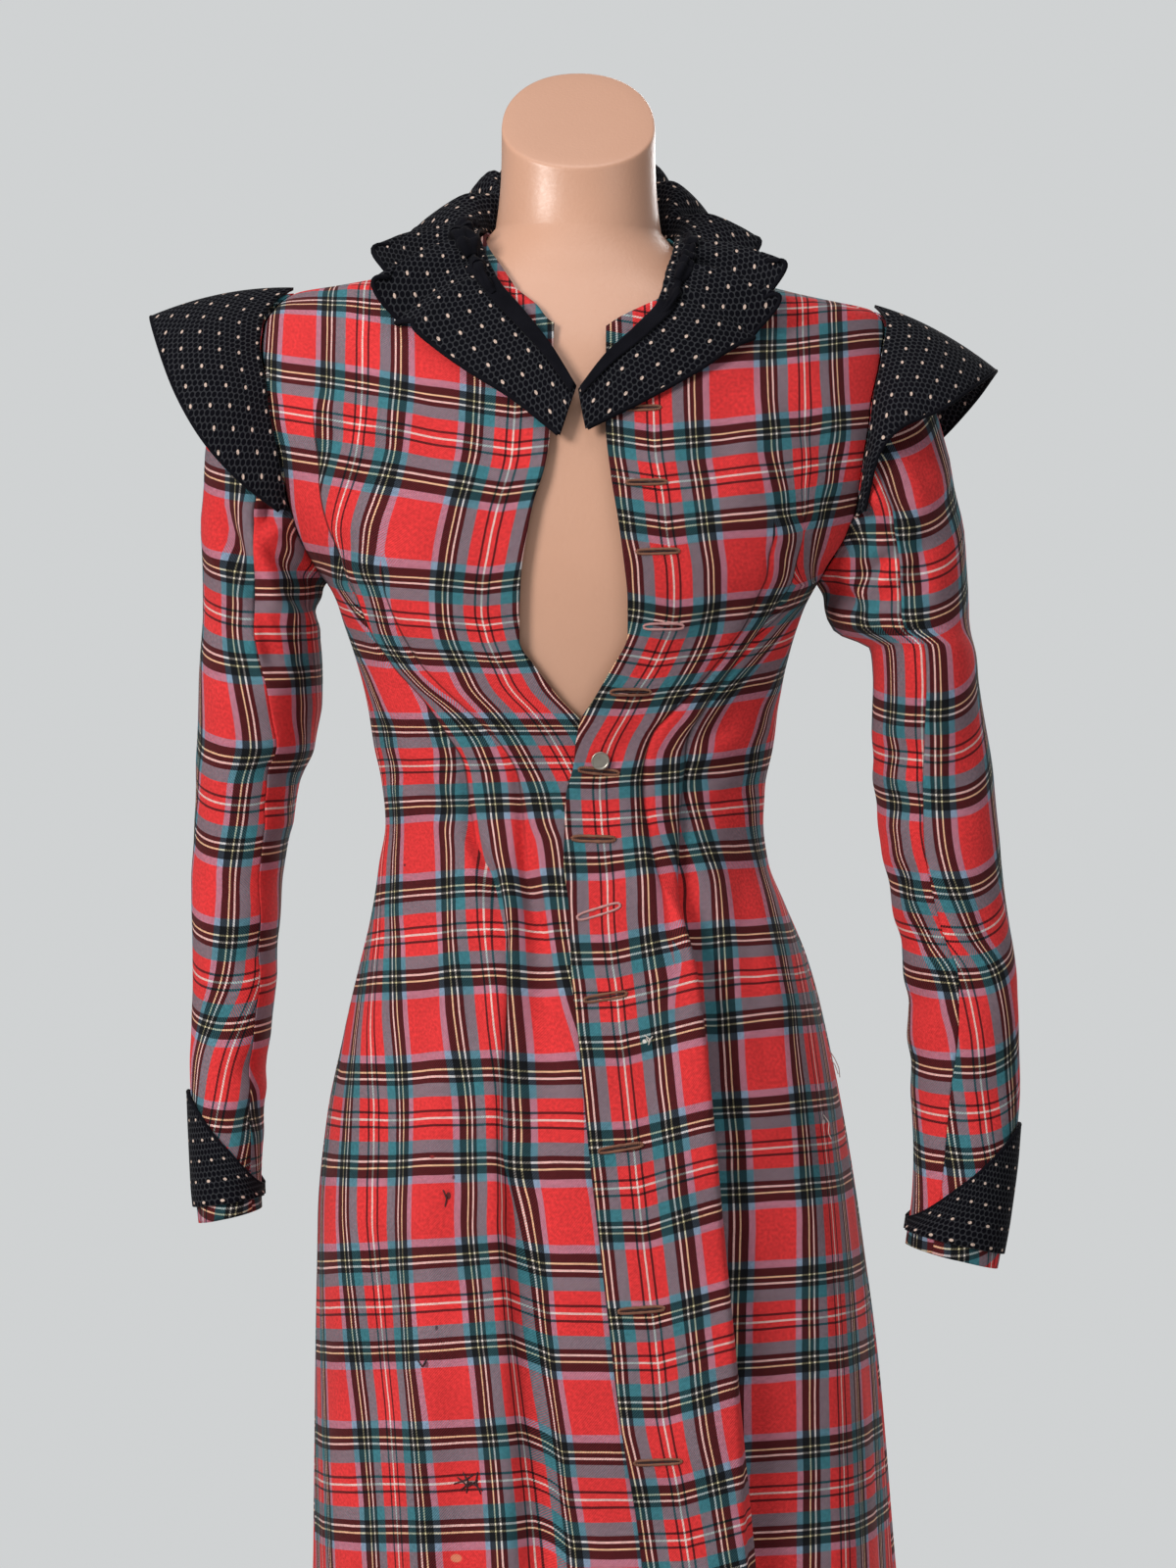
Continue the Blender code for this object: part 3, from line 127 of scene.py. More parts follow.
# Skirt folds, and how far the crest of each leans sideways for each millimetre of rise.
# Columns: waist, hem, start, mid, low, spread minus, spread plus, lean.
FOLDS = (
    (-31, -38, 1078, 5.0, 10.0, 6.5, 5.0, 0.0),
    (-17.5, -18, 1078, 6.5, 12.0, 5.0, 3.6, 0.25),
    (-10, -11, 1060, -3.5, -6.0, 3.5, 3.5, 0.0),
    (21, 23, 1078, 11.0, 17.0, 9.0, 3.2, 0.55),
    (32, 33, 1066, -7.0, -11.0, 4.2, 7.0, 0.0),
    (52, 56, 1020, 3.0, 9.0, 9.0, 9.0, 0.0),
    (-60, -62, 1000, 2.5, 8.0, 10.0, 10.0, 0.0),
    (78, 76, 900, -2.0, -6.0, 7.0, 7.0, 0.0),
    (97, 96, 1040, 4.0, 13.0, 7.0, 7.0, 0.0),
    (113, 110, 1030, -3.0, -8.0, 5.0, 5.0, 0.0),
    (126, 123, 1060, 6.0, 16.0, 6.0, 6.0, 0.2),
    (140, 137, 1050, -3.0, -8.0, 5.0, 5.0, 0.0),
    (152, 150, 1070, 6.5, 17.0, 6.0, 6.0, 0.2),
    (165, 164, 1060, -3.0, -8.0, 5.0, 5.0, 0.0),
    (180, 180, 1070, 6.0, 15.0, 5.0, 5.0, 0.0),
    (-165, -164, 1060, -3.0, -8.0, 5.0, 5.0, 0.0),
    (-152, -150, 1070, 6.5, 17.0, 6.0, 6.0, -0.2),
    (-140, -137, 1050, -3.0, -8.0, 5.0, 5.0, 0.0),
    (-126, -123, 1060, 6.0, 16.0, 6.0, 6.0, -0.2),
    (-112, -109, 1030, -3.0, -8.0, 5.0, 5.0, 0.0),
    (-96, -95, 1020, 4.0, 12.0, 7.0, 7.0, 0.0),
)
FOLD_RAMP = 70.0
FOLD_RAMP_SHARE = 0.45
FOLD_MID_Z = 760.0
BUST = 7.0
BUST_ANGLE = 42.0
BUST_Z = 1196.0
BUST_SPREAD_ANGLE = 26.0
BUST_SPREAD_Z = 58.0
BUST_REACH_ANGLE = 100.0
CROSS_Z = 1100.0
OVERLAP_LIFT = 2.3
OVERLAP_FULL_Z = 4.0
OVERLAP_EASE_Z = 45.0
OVERLAP_EASE_ANGLE = 14.0

# Creases of the bodice and skirt as they show from the front or back: from one end to the
# other, the half width, and the depth, which is minus for a ridge.
# Columns: x0, z0, x1, z1, width, depth.
FRONT_CREASES = (
    (-152, 1206, -118, 1240, 9, 2.6),
    (-160, 1222, -120, 1262, 8, 2.0),
    (-165, 1245, -128, 1296, 8, 1.6),
    (-150, 1200, -108, 1216, 8, 2.0),
    (-128, 1352, -100, 1310, 9, 1.2),
    (-96, 1306, -82, 1246, 10, 1.3),
    (-60, 1300, -52, 1240, 9, 1.0),
    (-118, 1140, -92, 1098, 8, 1.6),
    (-106, 1116, -60, 1092, 8, 1.6),
    (-112, 1098, -70, 1070, 7, 1.5),
    (-114, 1074, -84, 1050, 7, 1.3),
    (-92, 1052, -58, 1030, 6, 1.2),
    (152, 1203, 118, 1236, 9, 2.8),
    (160, 1220, 118, 1262, 8, 2.2),
    (164, 1242, 124, 1300, 8, 1.7),
    (146, 1196, 98, 1206, 8, 2.2),
    (140, 1350, 108, 1306, 9, 1.2),
    (92, 1296, 78, 1232, 9, 1.6),
    (74, 1284, 62, 1222, 8, 1.2),
    (118, 1136, 84, 1096, 7, 1.6),
    (112, 1110, 62, 1078, 7, 1.8),
    (112, 1086, 70, 1062, 6, 1.5),
    (108, 1060, 76, 1044, 6, 1.3),
    (100, 1176, 60, 1140, 7, 1.4),
    (40, 1100, 12, 1062, 7, 1.2),
    (-70, 700, -64, 300, 13, 2.2),
    (-112, 960, -134, 560, 14, 3.0),
    (44, 930, 50, 640, 10, 1.2),
    (96, 1040, 116, 880, 9, 2.2),
    (122, 900, 138, 500, 14, 3.0),
)
BACK_CREASES = (
    (-150, 1206, -108, 1250, 9, 2.4),
    (-158, 1226, -118, 1300, 8, 1.8),
    (150, 1206, 108, 1250, 9, 2.4),
    (158, 1226, 118, 1300, 8, 1.8),
    (-116, 1120, -60, 1084, 8, 1.4),
    (116, 1118, 60, 1086, 8, 1.4),
    (-104, 1080, -44, 1060, 7, 1.2),
    (104, 1080, 44, 1058, 7, 1.2),
    (-60, 1340, -46, 1250, 12, 1.2),
    (62, 1344, 48, 1246, 12, 1.2),
)

# Sleeves: one row for each ring under the arm, centre and half sizes.
# Columns: z, x, half width, y, half depth, slant.
SLEEVE_RIGHT_ARM = (
    (1165, 199.5, 36.0, 3, 59, 0), (1122, 200.2, 38.4, 8, 59, 0), (1085, 203.0, 37.0, 12, 55, 0),
    (1061, 208.5, 32.6, 13, 51, 0), (1036, 211.0, 30.1, 11, 47, 0), (1000, 214.6, 28.3, 5, 43, 0),
    (938, 215.3, 25.8, -8, 38, 0), (876, 218.3, 23.4, -21, 34, 0), (815, 217.6, 20.6, -31, 32, 2),
    (794, 215.9, 19.6, -34, 31.5, 4.5),
)
SLEEVE_LEFT_ARM = (
    (1165, 201.0, 44.0, 3, 59, 0), (1157, 203.5, 42.5, 4, 59, 0), (1146, 216.0, 32.6, 5, 58, 0),
    (1132, 218.0, 32.8, 7, 58, 0),
    (1098, 220.8, 35.7, 11, 56, 0), (1061, 223.9, 37.5, 13, 52, 0), (1024, 227.6, 37.3, 9, 47, 0),
    (975, 234.4, 35.1, 0, 42, 0), (938, 239.5, 34.7, -8, 38, 0), (876, 240.8, 33.8, -21, 36, 1),
    (839, 240.0, 31.8, -27, 34, 3), (800, 236.5, 29.5, -34, 33, 6),
    (769, 231.2, 28.5, -38, 32, 7.5),
)
# Pull of the sleeve head at the top, front, underarm and back of the armhole, and how far
# each line runs straight above the first ring.
# Columns: turn, out, forward, rise, straight.
HEAD_RIGHT_ARM = ((0, 52, 0, 1, 98), (45, 34, -14, -4, 74), (90, 15, -14, -12, 46),
                  (135, 8, -6, -12, 22), (180, 5, 0, -9, 8))
HEAD_LEFT_ARM = ((0, 27, 0, -6, 74), (45, 22, -14, -8, 62)) + HEAD_RIGHT_ARM[2:]
SLEEVE_POWER = 0.92
# Columns: z, turn.
SLEEVE_SEAM = {
    -1: ((794, 140), (822, 138), (896, 129), (938, 131), (1010, 123), (1080, 114), (1120, 100),
         (1159, 90), (1165, 90)),
    1: ((769, 118), (820, 116), (871, 108), (911, 98), (944, 96), (970, 105), (1011, 109),
        (1070, 103), (1120, 96), (1165, 92)),
}
BACK_SEAM_TURN = 256.0
ARMHOLE_GAP = {-1: 1.4, 1: 0.9}
ARMHOLE_RISE = 0.2

# Cuffs
CUFF_ABOVE_HEM = 9.0
CUFF_TALL = {-1: 67.0, 1: 74.0}
CUFF_LOW = 8.0
CUFF_REACH_TURN = 171.0
CUFF_LIFT = 0.75
CUFF_POINT_POWER = 1.15

# Shoulder caps: outer edge from the front tip over the top to the back tip.
# "along" runs from 0 at the front tip to 1 at the back tip, x is measured outwards.
# Columns: along, x, y, z, swell.
CAP_RIGHT_ARM = (
    (0.00, 184, -60, 1229, 1), (0.10, 206, -66, 1246, 3), (0.20, 229, -67, 1271, 5),
    (0.30, 247, -57, 1301, 6), (0.40, 260, -34, 1332, 6), (0.50, 268, 0, 1354, 5),
    (0.60, 259, 34, 1338, 6), (0.70, 246, 58, 1308, 6), (0.80, 229, 70, 1278, 5),
    (0.90, 206, 72, 1252, 3), (1.00, 184, 66, 1234, 1),
)
CAP_LEFT_ARM = (
    (0.00, 176, -60, 1229, 1), (0.10, 184, -66, 1263, 3), (0.20, 198, -66, 1280, 5),
    (0.30, 222, -58, 1291, 6), (0.40, 246, -34, 1308, 6), (0.50, 262, 0, 1320, 5),
    (0.60, 255, 34, 1309, 6), (0.70, 241, 60, 1292, 6), (0.80, 221, 71, 1272, 5),
    (0.90, 198, 73, 1250, 3), (1.00, 178, 66, 1232, 1),
)
CAP_LIFT = 3.4
CAP_LEAN = 0.62
CAP_REACH_TURN = 122.0

# Collar: sections from the front end round to the centre back. Each has its neck edge,
# its roll and its outer edge. On the first six rows the depth y is how far the point
# stands off the coat. On the others the neck edge is an angle, a lift and a height.
# Columns: nx, ny, nz, rx, ry, rz, ox, oy, oz, ruffle, waves.
COLLAR_RIGHT = (
    (-1, 3.4, 1301, -6, 4.2, 1286, -11, 3.4, 1271, 0.0, 0.0),
    (-17.7, 3.4, 1328.6, -29, 4.6, 1312, -41.5, 3.2, 1295.7, 0.0, 0.0),
    (-32.6, 3.6, 1348, -49, 5.4, 1330, -66.5, 3.4, 1311.6, 0.0, 0.0),
    (-49, 4.2, 1368, -71, 7.0, 1351, -94, 5.2, 1332, 1.5, 0.3),
    (-56, 5.0, 1386, -85, 9.0, 1371, -115, 8.0, 1350, 4.2, 1.1),
    (-59, 6.5, 1397, -88, 12.0, 1385, -117, 10.5, 1367, 5.2, 2.0),
    (-97, 3.4, 1404, -80, 10, 1411, -104, 14, 1396, 5.6, 2.9),
    (-125, 3.0, 1405, -54, 41, 1440, -74, 60, 1411, 5.2, 4.0),
    (-152, 3.0, 1406, -41, 66, 1454, -56, 92, 1415, 4.8, 5.2),
    (-180, 3.0, 1407, 0, 80, 1456, 0, 108, 1418, 4.6, 6.5),
)
COLLAR_LEFT = (
    (0, 3.4, 1299, 2, 4.2, 1287, 4.5, 3.4, 1275, 0.0, 0.0),
    (16.2, 3.4, 1321, 26, 4.6, 1306, 35.8, 3.2, 1291, 0.0, 0.0),
    (34.7, 3.6, 1339, 50, 5.4, 1323, 65.5, 3.4, 1307.6, 0.0, 0.0),
    (48, 4.2, 1354, 71, 7.0, 1341, 95, 5.2, 1326, 1.5, 0.3),
    (53, 5.0, 1372, 83, 9.0, 1361, 113, 8.0, 1345, 4.2, 1.1),
    (56, 7.0, 1386, 86, 12.0, 1377, 116, 10.5, 1362, 5.2, 2.0),
    (97, 3.4, 1403, 81, 10, 1406, 108, 14, 1392, 5.6, 2.9),
    (125, 3.0, 1405, 56, 41, 1436, 77, 58, 1407, 5.2, 4.0),
    (152, 3.0, 1406, 41, 66, 1453, 57, 91, 1413, 4.8, 5.2),
    (180, 3.0, 1407, 0, 80, 1456, 0, 108, 1418, 4.6, 6.5),
)
COLLAR_ON_COAT_ROWS = 6
RUFFLE_FRONT = (0.35, -0.55, 0.90)
RUFFLE_BACK = (0.62, 0.50, 0.81)
RUFFLE_TURNS_AT = 5.5
RUFFLE_PHASE = 0.8
RUFFLE_SWING = 2.0
RUFFLE_LEAN = 0.8
RUFFLE_BIAS = 0.5
RUFFLE_SLIDE = 0.6
RUFFLE_TURN_HALF = 1.2
RUFFLE_DRIFT = 0.7
RUFFLE_DRIFT_PACE = 0.53
RUFFLE_POWER = 0.8
GATHER_DEPTH = 2.2
GATHER_RATIO = 4.0
GATHER_FULL = 5.0
GATHER_TOP_POWER = 1.3
GATHER_LOW_POWER = 0.3
STATION_STEP = 0.04
BINDING_START = 0.004
BINDING_END = 0.17
BINDING_FROM = 0.02
BINDING_TO = 0.22
BINDING_WALL = 1.2

# Button
BUTTON_X = 13.2
BUTTON_Z = 1075.7
# Outline from the middle of the underside round to the middle of the face: radius, height.
BUTTON_OUTLINE = ((0.0, 0.0), (4.8, 0.0), (5.6, 0.8), (5.6, 1.7), (5.2, 2.0), (4.8, 2.0),
                  (4.3, 1.5), (2.2, 1.45), (0.0, 1.6))
BUTTON_ROUNDING = 0.35
BUTTON_SIDES = 48

# Dress form, pole and base
FORM_BOTTOM_Z = 800.0
# Columns: z, side limit, side in, front in, back in.
FORM = (
    (800, 144, 18, 26, 28), (850, 144, 13, 21, 20), (900, 140, 11, 17, 15), (950, 134, 10, 15, 12),
    (1000, 130, 8, 12, 9), (1036, 125, 6.5, 8, 7), (1085, 130, 6.5, 7, 6.5),
    (1135, 138, 7.5, 8, 7), (1184, 142, 9, 8, 7), (1220, 145, 12, 8, 7), (1260, 150, 12, 7, 6.5),
    (1300, 159, 10, 5, 5), (1330, 167, 10, 4.6, 4.4),
    (1352, 164, 16, 6.8, 5.2), (1363.5, 156, 19, 7.4, 5.6), (1376, 130, 18, 7.2, 5.6),
    (1384, 110, 11.5, 5.8, 4.8), (1395, 110, 7.5, 4.8, 4.2),
    (1405, 90, 4.5, 4.4, 4.2), (1415, 60, 3, 3, 3), (1430, 50, 1.5, 1.5, 1.5),
)
FORM_BUST_SHARE = 0.85
# Closed underside of the form: share of its width, and height above its bottom.
FORM_FOOT = ((0.0, 0.0), (0.5, 0.0), (0.9, 0.0), (0.96, 0.6), (0.985, 2.4), (1.0, 6.0))
FORM_SIDES = 144
FORM_FIRST_STEP = 12.0
FORM_STEP = 6.0
NECK_RINGS = (0.04, 0.965, 26)
# Soft edge and rim of the neck cap: distance inwards, and distance below the cap's plane.
NECK_CAP_EDGE = ((0.25, 0.9), (0.9, 0.25), (2.2, 0.0), (12.0, -0.5))
NECK_CAP_MIDDLE = 0.7
NECK_HALF_WIDTH = 48.2
NECK_FRONT = 42.0
NECK_BACK = 57.0
NECK_POWER = 0.93
NECK_ROOT_SPEED = 1.25
NECK_ROOT_POWER = 2.2
CAP_FRONT_Z = 1443.0
CAP_BACK_Z = 1516.0
POLE_RADIUS = 16.0
POLE_SIDES = 48
BASE_HEIGHT = 20.0
BASE_OUTLINE = ((0.0, 0.0), (176.5, 0.0), (178.0, 1.5), (178.0, 15.0), (173.0, 20.0),
                (0.0, 20.0))
BASE_ROUNDING = 3.0
BASE_SIDES = 128
CORNER_SHARE = 0.45
CORNER_STEPS = 4
SEAM_GAP = 0.3
LAY_GAP = 0.45


def ease(value):
    value = np.clip(value, 0.0, 1.0)
    return value * value * (3.0 - 2.0 * value)


def mix(a, b, share):
    return a + (b - a) * share


SLOPES = {}


def read(table, at, column):
    """Values of a column at places along the table's first column, on a smooth curve."""
    key = (id(table), column)
    if key not in SLOPES:
        rows = np.asarray(table, dtype=float)
        x, y = rows[:, 0], rows[:, column]
        rise = np.diff(y) / np.maximum(np.diff(x), 1e-9)
        slope = np.zeros(len(x))
        slope[0], slope[-1] = rise[0], rise[-1]
        same = rise[:-1] * rise[1:] > 0
        both = np.where(same, rise[:-1] + rise[1:], 1.0)
        slope[1:-1] = np.where(same, 2.0 * rise[:-1] * rise[1:] / both, 0.0)
        SLOPES[key] = (x, y, slope, table)
    x, y, slope, _ = SLOPES[key]
    at = np.clip(np.asarray(at, dtype=float), x[0], x[-1])
    row = np.clip(np.searchsorted(x, at, side="left") - 1, 0, len(x) - 2)
    span = x[row + 1] - x[row]
    share = (at - x[row]) / span
    s2 = share * share
    s3 = s2 * share
    return (y[row] * (2 * s3 - 3 * s2 + 1) + y[row + 1] * (3 * s2 - 2 * s3)
            + slope[row] * span * (s3 - 2 * s2 + share) + slope[row + 1] * span * (s3 - s2))


def row_at(table, at):
    """All further columns of a table at places along its first one."""
    return [read(table, at, column) for column in range(1, len(table[0]))]


def pair(a, b):
    return np.stack(np.broadcast_arrays(a, b), axis=-1)


def run_along(points, axis):
    """Distance run along one axis of a grid of points, from 0 at its start."""
    steps = np.linalg.norm(np.diff(points, axis=axis), axis=-1)
    return np.insert(np.cumsum(steps, axis=axis), 0, 0.0, axis=axis)


def curved(share, start, middle, end):
    """Place on a curve from start to end that passes its middle point at half."""
    v = np.asarray(share)[..., None]
    s = 1.0 - v
    return s * s * start + 2 * s * v * (2 * middle - 0.5 * start - 0.5 * end) + v * v * end


def stack(x, y, z):
    x, y, z = np.broadcast_arrays(x, y, z)
    return np.stack([x, y, z], axis=-1).astype(float)


def unit(a):
    return a / np.maximum(np.linalg.norm(a, axis=-1, keepdims=True), 1e-9)


def signed_power(value, power):
    return np.sign(value) * np.abs(value) ** power


def tilted(point):
    lean = TILT * ease((point[..., 2] - TILT_FROM_Z) / (TILT_FULL_Z - TILT_FROM_Z))
    return point - stack(0.0, 0.0, lean * point[..., 0])


def ring_point(angle, z, left, right, front, back, side_power, depth_power):
    turn = np.radians(angle)
    x = 0.5 * (right - left) + 0.5 * (right + left) * signed_power(np.sin(turn), side_power)
    depth = signed_power(np.cos(turn), depth_power)
    return stack(x, np.where(depth > 0, -front, -back) * depth, z)


def bare_point(angle, z):
    return ring_point(angle, z, *row_at(BODY, z))


def bust_rise(angle, z, high):
    up = (z - BUST_Z) / BUST_SPREAD_Z
    sideways = (np.abs(angle) - BUST_ANGLE) / BUST_SPREAD_ANGLE
    rise = high * np.exp(-up ** 2 - sideways ** 2)
    return np.where(np.abs(angle) < BUST_REACH_ANGLE, rise, 0.0)


def fold_rise(angle, z):
    """Rise of the folds and of the bust over the bare body, and the sideways lean of crests."""
    total = np.zeros(np.broadcast(angle, z).shape)
    sideways = np.zeros_like(total)
    for waist, hem, start, mid, low, minus, plus, lean in FOLDS:
        centre = mix(hem, waist, ease((z - HEM_Z) / (start - HEM_Z)))
        away = (angle - centre + 180.0) % 360.0 - 180.0
        spread = np.where(away < 0, minus, plus)
        high = mid * ease((start - z) / max(FOLD_RAMP, FOLD_RAMP_SHARE * (start - FOLD_MID_Z)))
        size = np.where(z > FOLD_MID_Z, high, mix(low, mid, (z - HEM_Z) / (FOLD_MID_Z - HEM_Z)))
        rise = np.where(z < start, size, 0.0) * np.exp(-(away / spread) ** 2)
        total = total + rise
        sideways = sideways + lean * rise
    return total + bust_rise(angle, z, BUST), sideways


# Steps in degrees and millimetres for finding which way a surface faces.
BARE_STEP = 2.0
COAT_STEP_ANGLE = 1.2
COAT_STEP_Z = 1.5


def smooth_point(angle, z):
    """Point on the outer face of the coat, folds and all."""
    angle, z = np.asarray(angle, float), np.asarray(z, float)
    round_step = bare_point(angle + BARE_STEP, z) - bare_point(angle - BARE_STEP, z)
    up_step = bare_point(angle, z + BARE_STEP) - bare_point(angle, z - BARE_STEP)
    rise, lean = fold_rise(angle, z)
    point = bare_point(angle, z) + unit(np.cross(round_step, up_step)) * rise[..., None]
    return tilted(point + unit(round_step) * lean[..., None])


def coat_normal(angle, z):
    a, up = COAT_STEP_ANGLE, COAT_STEP_Z
    round_step = smooth_point(angle + a, z) - smooth_point(angle - a, z)
    return unit(np.cross(round_step, smooth_point(angle, z + up) - smooth_point(angle, z - up)))


def coat_point(angle, z, lift):
    return smooth_point(angle, z) + coat_normal(angle, z) * np.asarray(lift)[..., None]


def angle_at(x, z):
    left, right, power = read(BODY, z, 1), read(BODY, z, 2), read(BODY, z, 5)
    share = np.clip((x - 0.5 * (right - left)) / (0.5 * (right + left)), -1.0, 1.0)
    return np.degrees(np.arcsin(signed_power(share, 1.0 / power)))


def level_of(x, z):
    """Height on the body before the tilt, for a place as seen."""
    level = z
    for _ in range(3):
        level = z + TILT * x * ease((level - TILT_FROM_Z) / (TILT_FULL_Z - TILT_FROM_Z))
    return level


def edge_angle(side, z):
    return angle_at(read(UPPER_EDGE if side > 0 else UNDER_EDGE, z, 1), z)


def overlap_lift(angle, z):
    near = 1.0 - ease((angle - edge_angle(-1, np.minimum(z, CROSS_Z))) / OVERLAP_EASE_ANGLE)
    return OVERLAP_LIFT * near * (1.0 - ease((z - CROSS_Z - OVERLAP_FULL_Z) / OVERLAP_EASE_Z))


def side_edge(side, v, back):
    """Angles and heights of a panel's side seam and armhole."""
    low = SIDE_SEAM_SHARE
    z = np.where(v < low, mix(PLAIN_TOP_Z, UNDERARM_Z, v / low),
                 mix(UNDERARM_Z, TIP_Z, (v - low) / (1.0 - low)))
    arm = read(ARMHOLE, z, 1)
    arm = np.where(z <= UNDERARM_Z, 90.0, 180.0 - arm if back else arm)
    return pair(side * arm, z)


def with_bodice(low_part, u, v, high, start, end):
    """Adds to a skirt's grid the patch between its top row and the three edges given."""
    low = low_part[-1]
    u = u[None, :, None]
    v = v[:, None, None]
    rows = (1 - v) * low[None] + v * high[None]
    columns = (1 - u) * start[:, None] + u * end[:, None]
    corners = ((1 - u) * (1 - v) * low[0] + u * (1 - v) * low[-1]
               + (1 - u) * v * high[0] + u * v * high[-1])
    return np.concatenate([low_part, (rows + columns - corners)[1:]], axis=0)


def spread_rows(low, high, step):
    count = int(round((high - low) / step))
    return np.linspace(low, high, count + 1)


SKIRT_STEP = 5.5
WAIST_STEP = 3.6
BODICE_ROWS = 62
FRONT_COLUMNS = 120
BACK_COLUMNS = 84
NECK_SHARE = 0.6
LINE_COLUMNS_AT = (0.27, 0.42)
LINE_LIMITS = (0.03, 0.8, 0.02, 0.9)
SIDE_SEAM_SHARE = 2.0 / 11.0
SKIRT_TOP_Z = 900.0
FRONT_NECK_POWER = 1.3
BACK_NECK_POWER = 0.9


def panel_heights():
    return np.concatenate([spread_rows(HEM_Z, SKIRT_TOP_Z, SKIRT_STEP),
                           spread_rows(SKIRT_TOP_Z, PLAIN_TOP_Z, WAIST_STEP)[1:]])


def along_lines(side, z, u):
    """Shares from the edge to the side seam, bent so that two columns follow the darts."""
    first = edge_angle(side, z)
    one, two = [(angle_at(read(line, z, 1), z) - first) / (side * 90.0 - first)
                for line in DART_LINES[side]]
    least, most, apart, last = LINE_LIMITS
    two = np.clip(two, one + apart, last)[:, None]
    one = np.clip(one, least, most)[:, None]
    a, b = LINE_COLUMNS_AT
    u = u[None, :]
    middle = one + (two - one) * (u - a) / (b - a)
    high = two + (1.0 - two) * (u - b) / (1.0 - b)
    return np.where(u < a, one * u / a, np.where(u < b, middle, high))


def front_map(side):
    """Angles and heights of a front's grid, rows from hem to top, columns from its edge."""
    u = np.linspace(0.0, 1.0, FRONT_COLUMNS + 1)
    v = np.linspace(0.0, 1.0, BODICE_ROWS + 1)
    z = panel_heights()
    angle = mix(edge_angle(side, z)[:, None], side * 90.0, along_lines(side, z, u))
    start_z = float((UPPER_EDGE if side > 0 else UNDER_EDGE)[-1][0])
    start_angle = float(abs(edge_angle(side, start_z)))
    on_neck = u < NECK_SHARE
    share = np.minimum(u / NECK_SHARE, 1.0)
    neck_angle = mix(start_angle, 90.0, share ** FRONT_NECK_POWER)
    seam_z = mix(NECK_Z, TIP_Z, np.clip((u - NECK_SHARE) / (1.0 - NECK_SHARE), 0.0, 1.0))
    high = pair(side * np.where(on_neck, neck_angle, 90.0),
                np.where(on_neck, read(NECKLINE, neck_angle, 1), seam_z))
    front_z = mix(PLAIN_TOP_Z, start_z, v)
    start = pair(edge_angle(side, front_z), front_z)
    return with_bodice(pair(angle, z[:, None]), u, v, high, start, side_edge(side, v, False))


def back_map(side):
    """Angles and heights of a back's grid, columns from the side seam to the centre back."""
    u = np.linspace(0.0, 1.0, BACK_COLUMNS + 1)
    v = np.linspace(0.0, 1.0, BODICE_ROWS + 1)
    low_part = pair(side * mix(90.0, 180.0, u), panel_heights()[:, None])
    on_seam = u < 1.0 - NECK_SHARE
    share = np.clip((u - (1.0 - NECK_SHARE)) / NECK_SHARE, 0.0, 1.0)
    neck_angle = mix(90.0, 180.0, share ** BACK_NECK_POWER)
    seam_z = mix(TIP_Z, NECK_Z, np.minimum(u / (1.0 - NECK_SHARE), 1.0))
    high = pair(side * np.where(on_seam, 90.0, neck_angle),
                np.where(on_seam, seam_z, read(NECKLINE, neck_angle, 1)))
    end = pair(side * 180.0, mix(PLAIN_TOP_Z, NECKLINE[-1][1], v))
    return with_bodice(low_part, u, v, high, side_edge(side, v, True), end)


def trimmed(grid, back):
    """Keeps a panel's grid just clear of the side, shoulder and centre back seam lines."""
    angle, z = grid[..., 0], grid[..., 1]
    left, right, front, _, side_power, depth_power = row_at(BODY, z)
    edge = np.degrees(np.arcsin((SEAM_HALF / front) ** (1.0 / depth_power)))
    centre = np.degrees(np.arcsin((SEAM_HALF / (0.5 * (left + right))) ** (1.0 / side_power)))
    size = np.abs(angle)
    size = np.clip(size, 90.0 + edge, 180.0 - centre) if back else np.minimum(size, 90.0 - edge)
    return np.sign(angle) * size, z


# A crease is shallower at its ends, and its cloth banks up along both sides: the share of
# its depth, and the bank's distance and half width in widths of the crease.
CREASE_TAPER = (0.35, 0.65)
CREASE_BANK = (0.45, 1.9, 0.9)
ENDS = (0.02, 0.98)


def crease_depth(points, creases):
    """How deep each point lies in the creases, seen along Y."""
    x, z = points[..., 0], points[..., 2]
    total = np.zeros(x.shape)
    bank, bank_at, bank_half = CREASE_BANK
    for x0, z0, x1, z1, width, depth in creases:
        dx, dz = x1 - x0, z1 - z0
        share = ((x - x0) * dx + (z - z0) * dz) / (dx * dx + dz * dz)
        held = np.clip(share, 0.0, 1.0)
        away = np.hypot(x - x0 - held * dx, z - z0 - held * dz)
        taper = CREASE_TAPER[0] + CREASE_TAPER[1] * np.sin(np.pi * np.clip(share, *ENDS))
        total += depth * taper * np.exp(-(away / width) ** 2)
        beside = (away - bank_at * width) / (bank_half * width)
        total -= bank * depth * taper * np.exp(-beside ** 2)
    return total


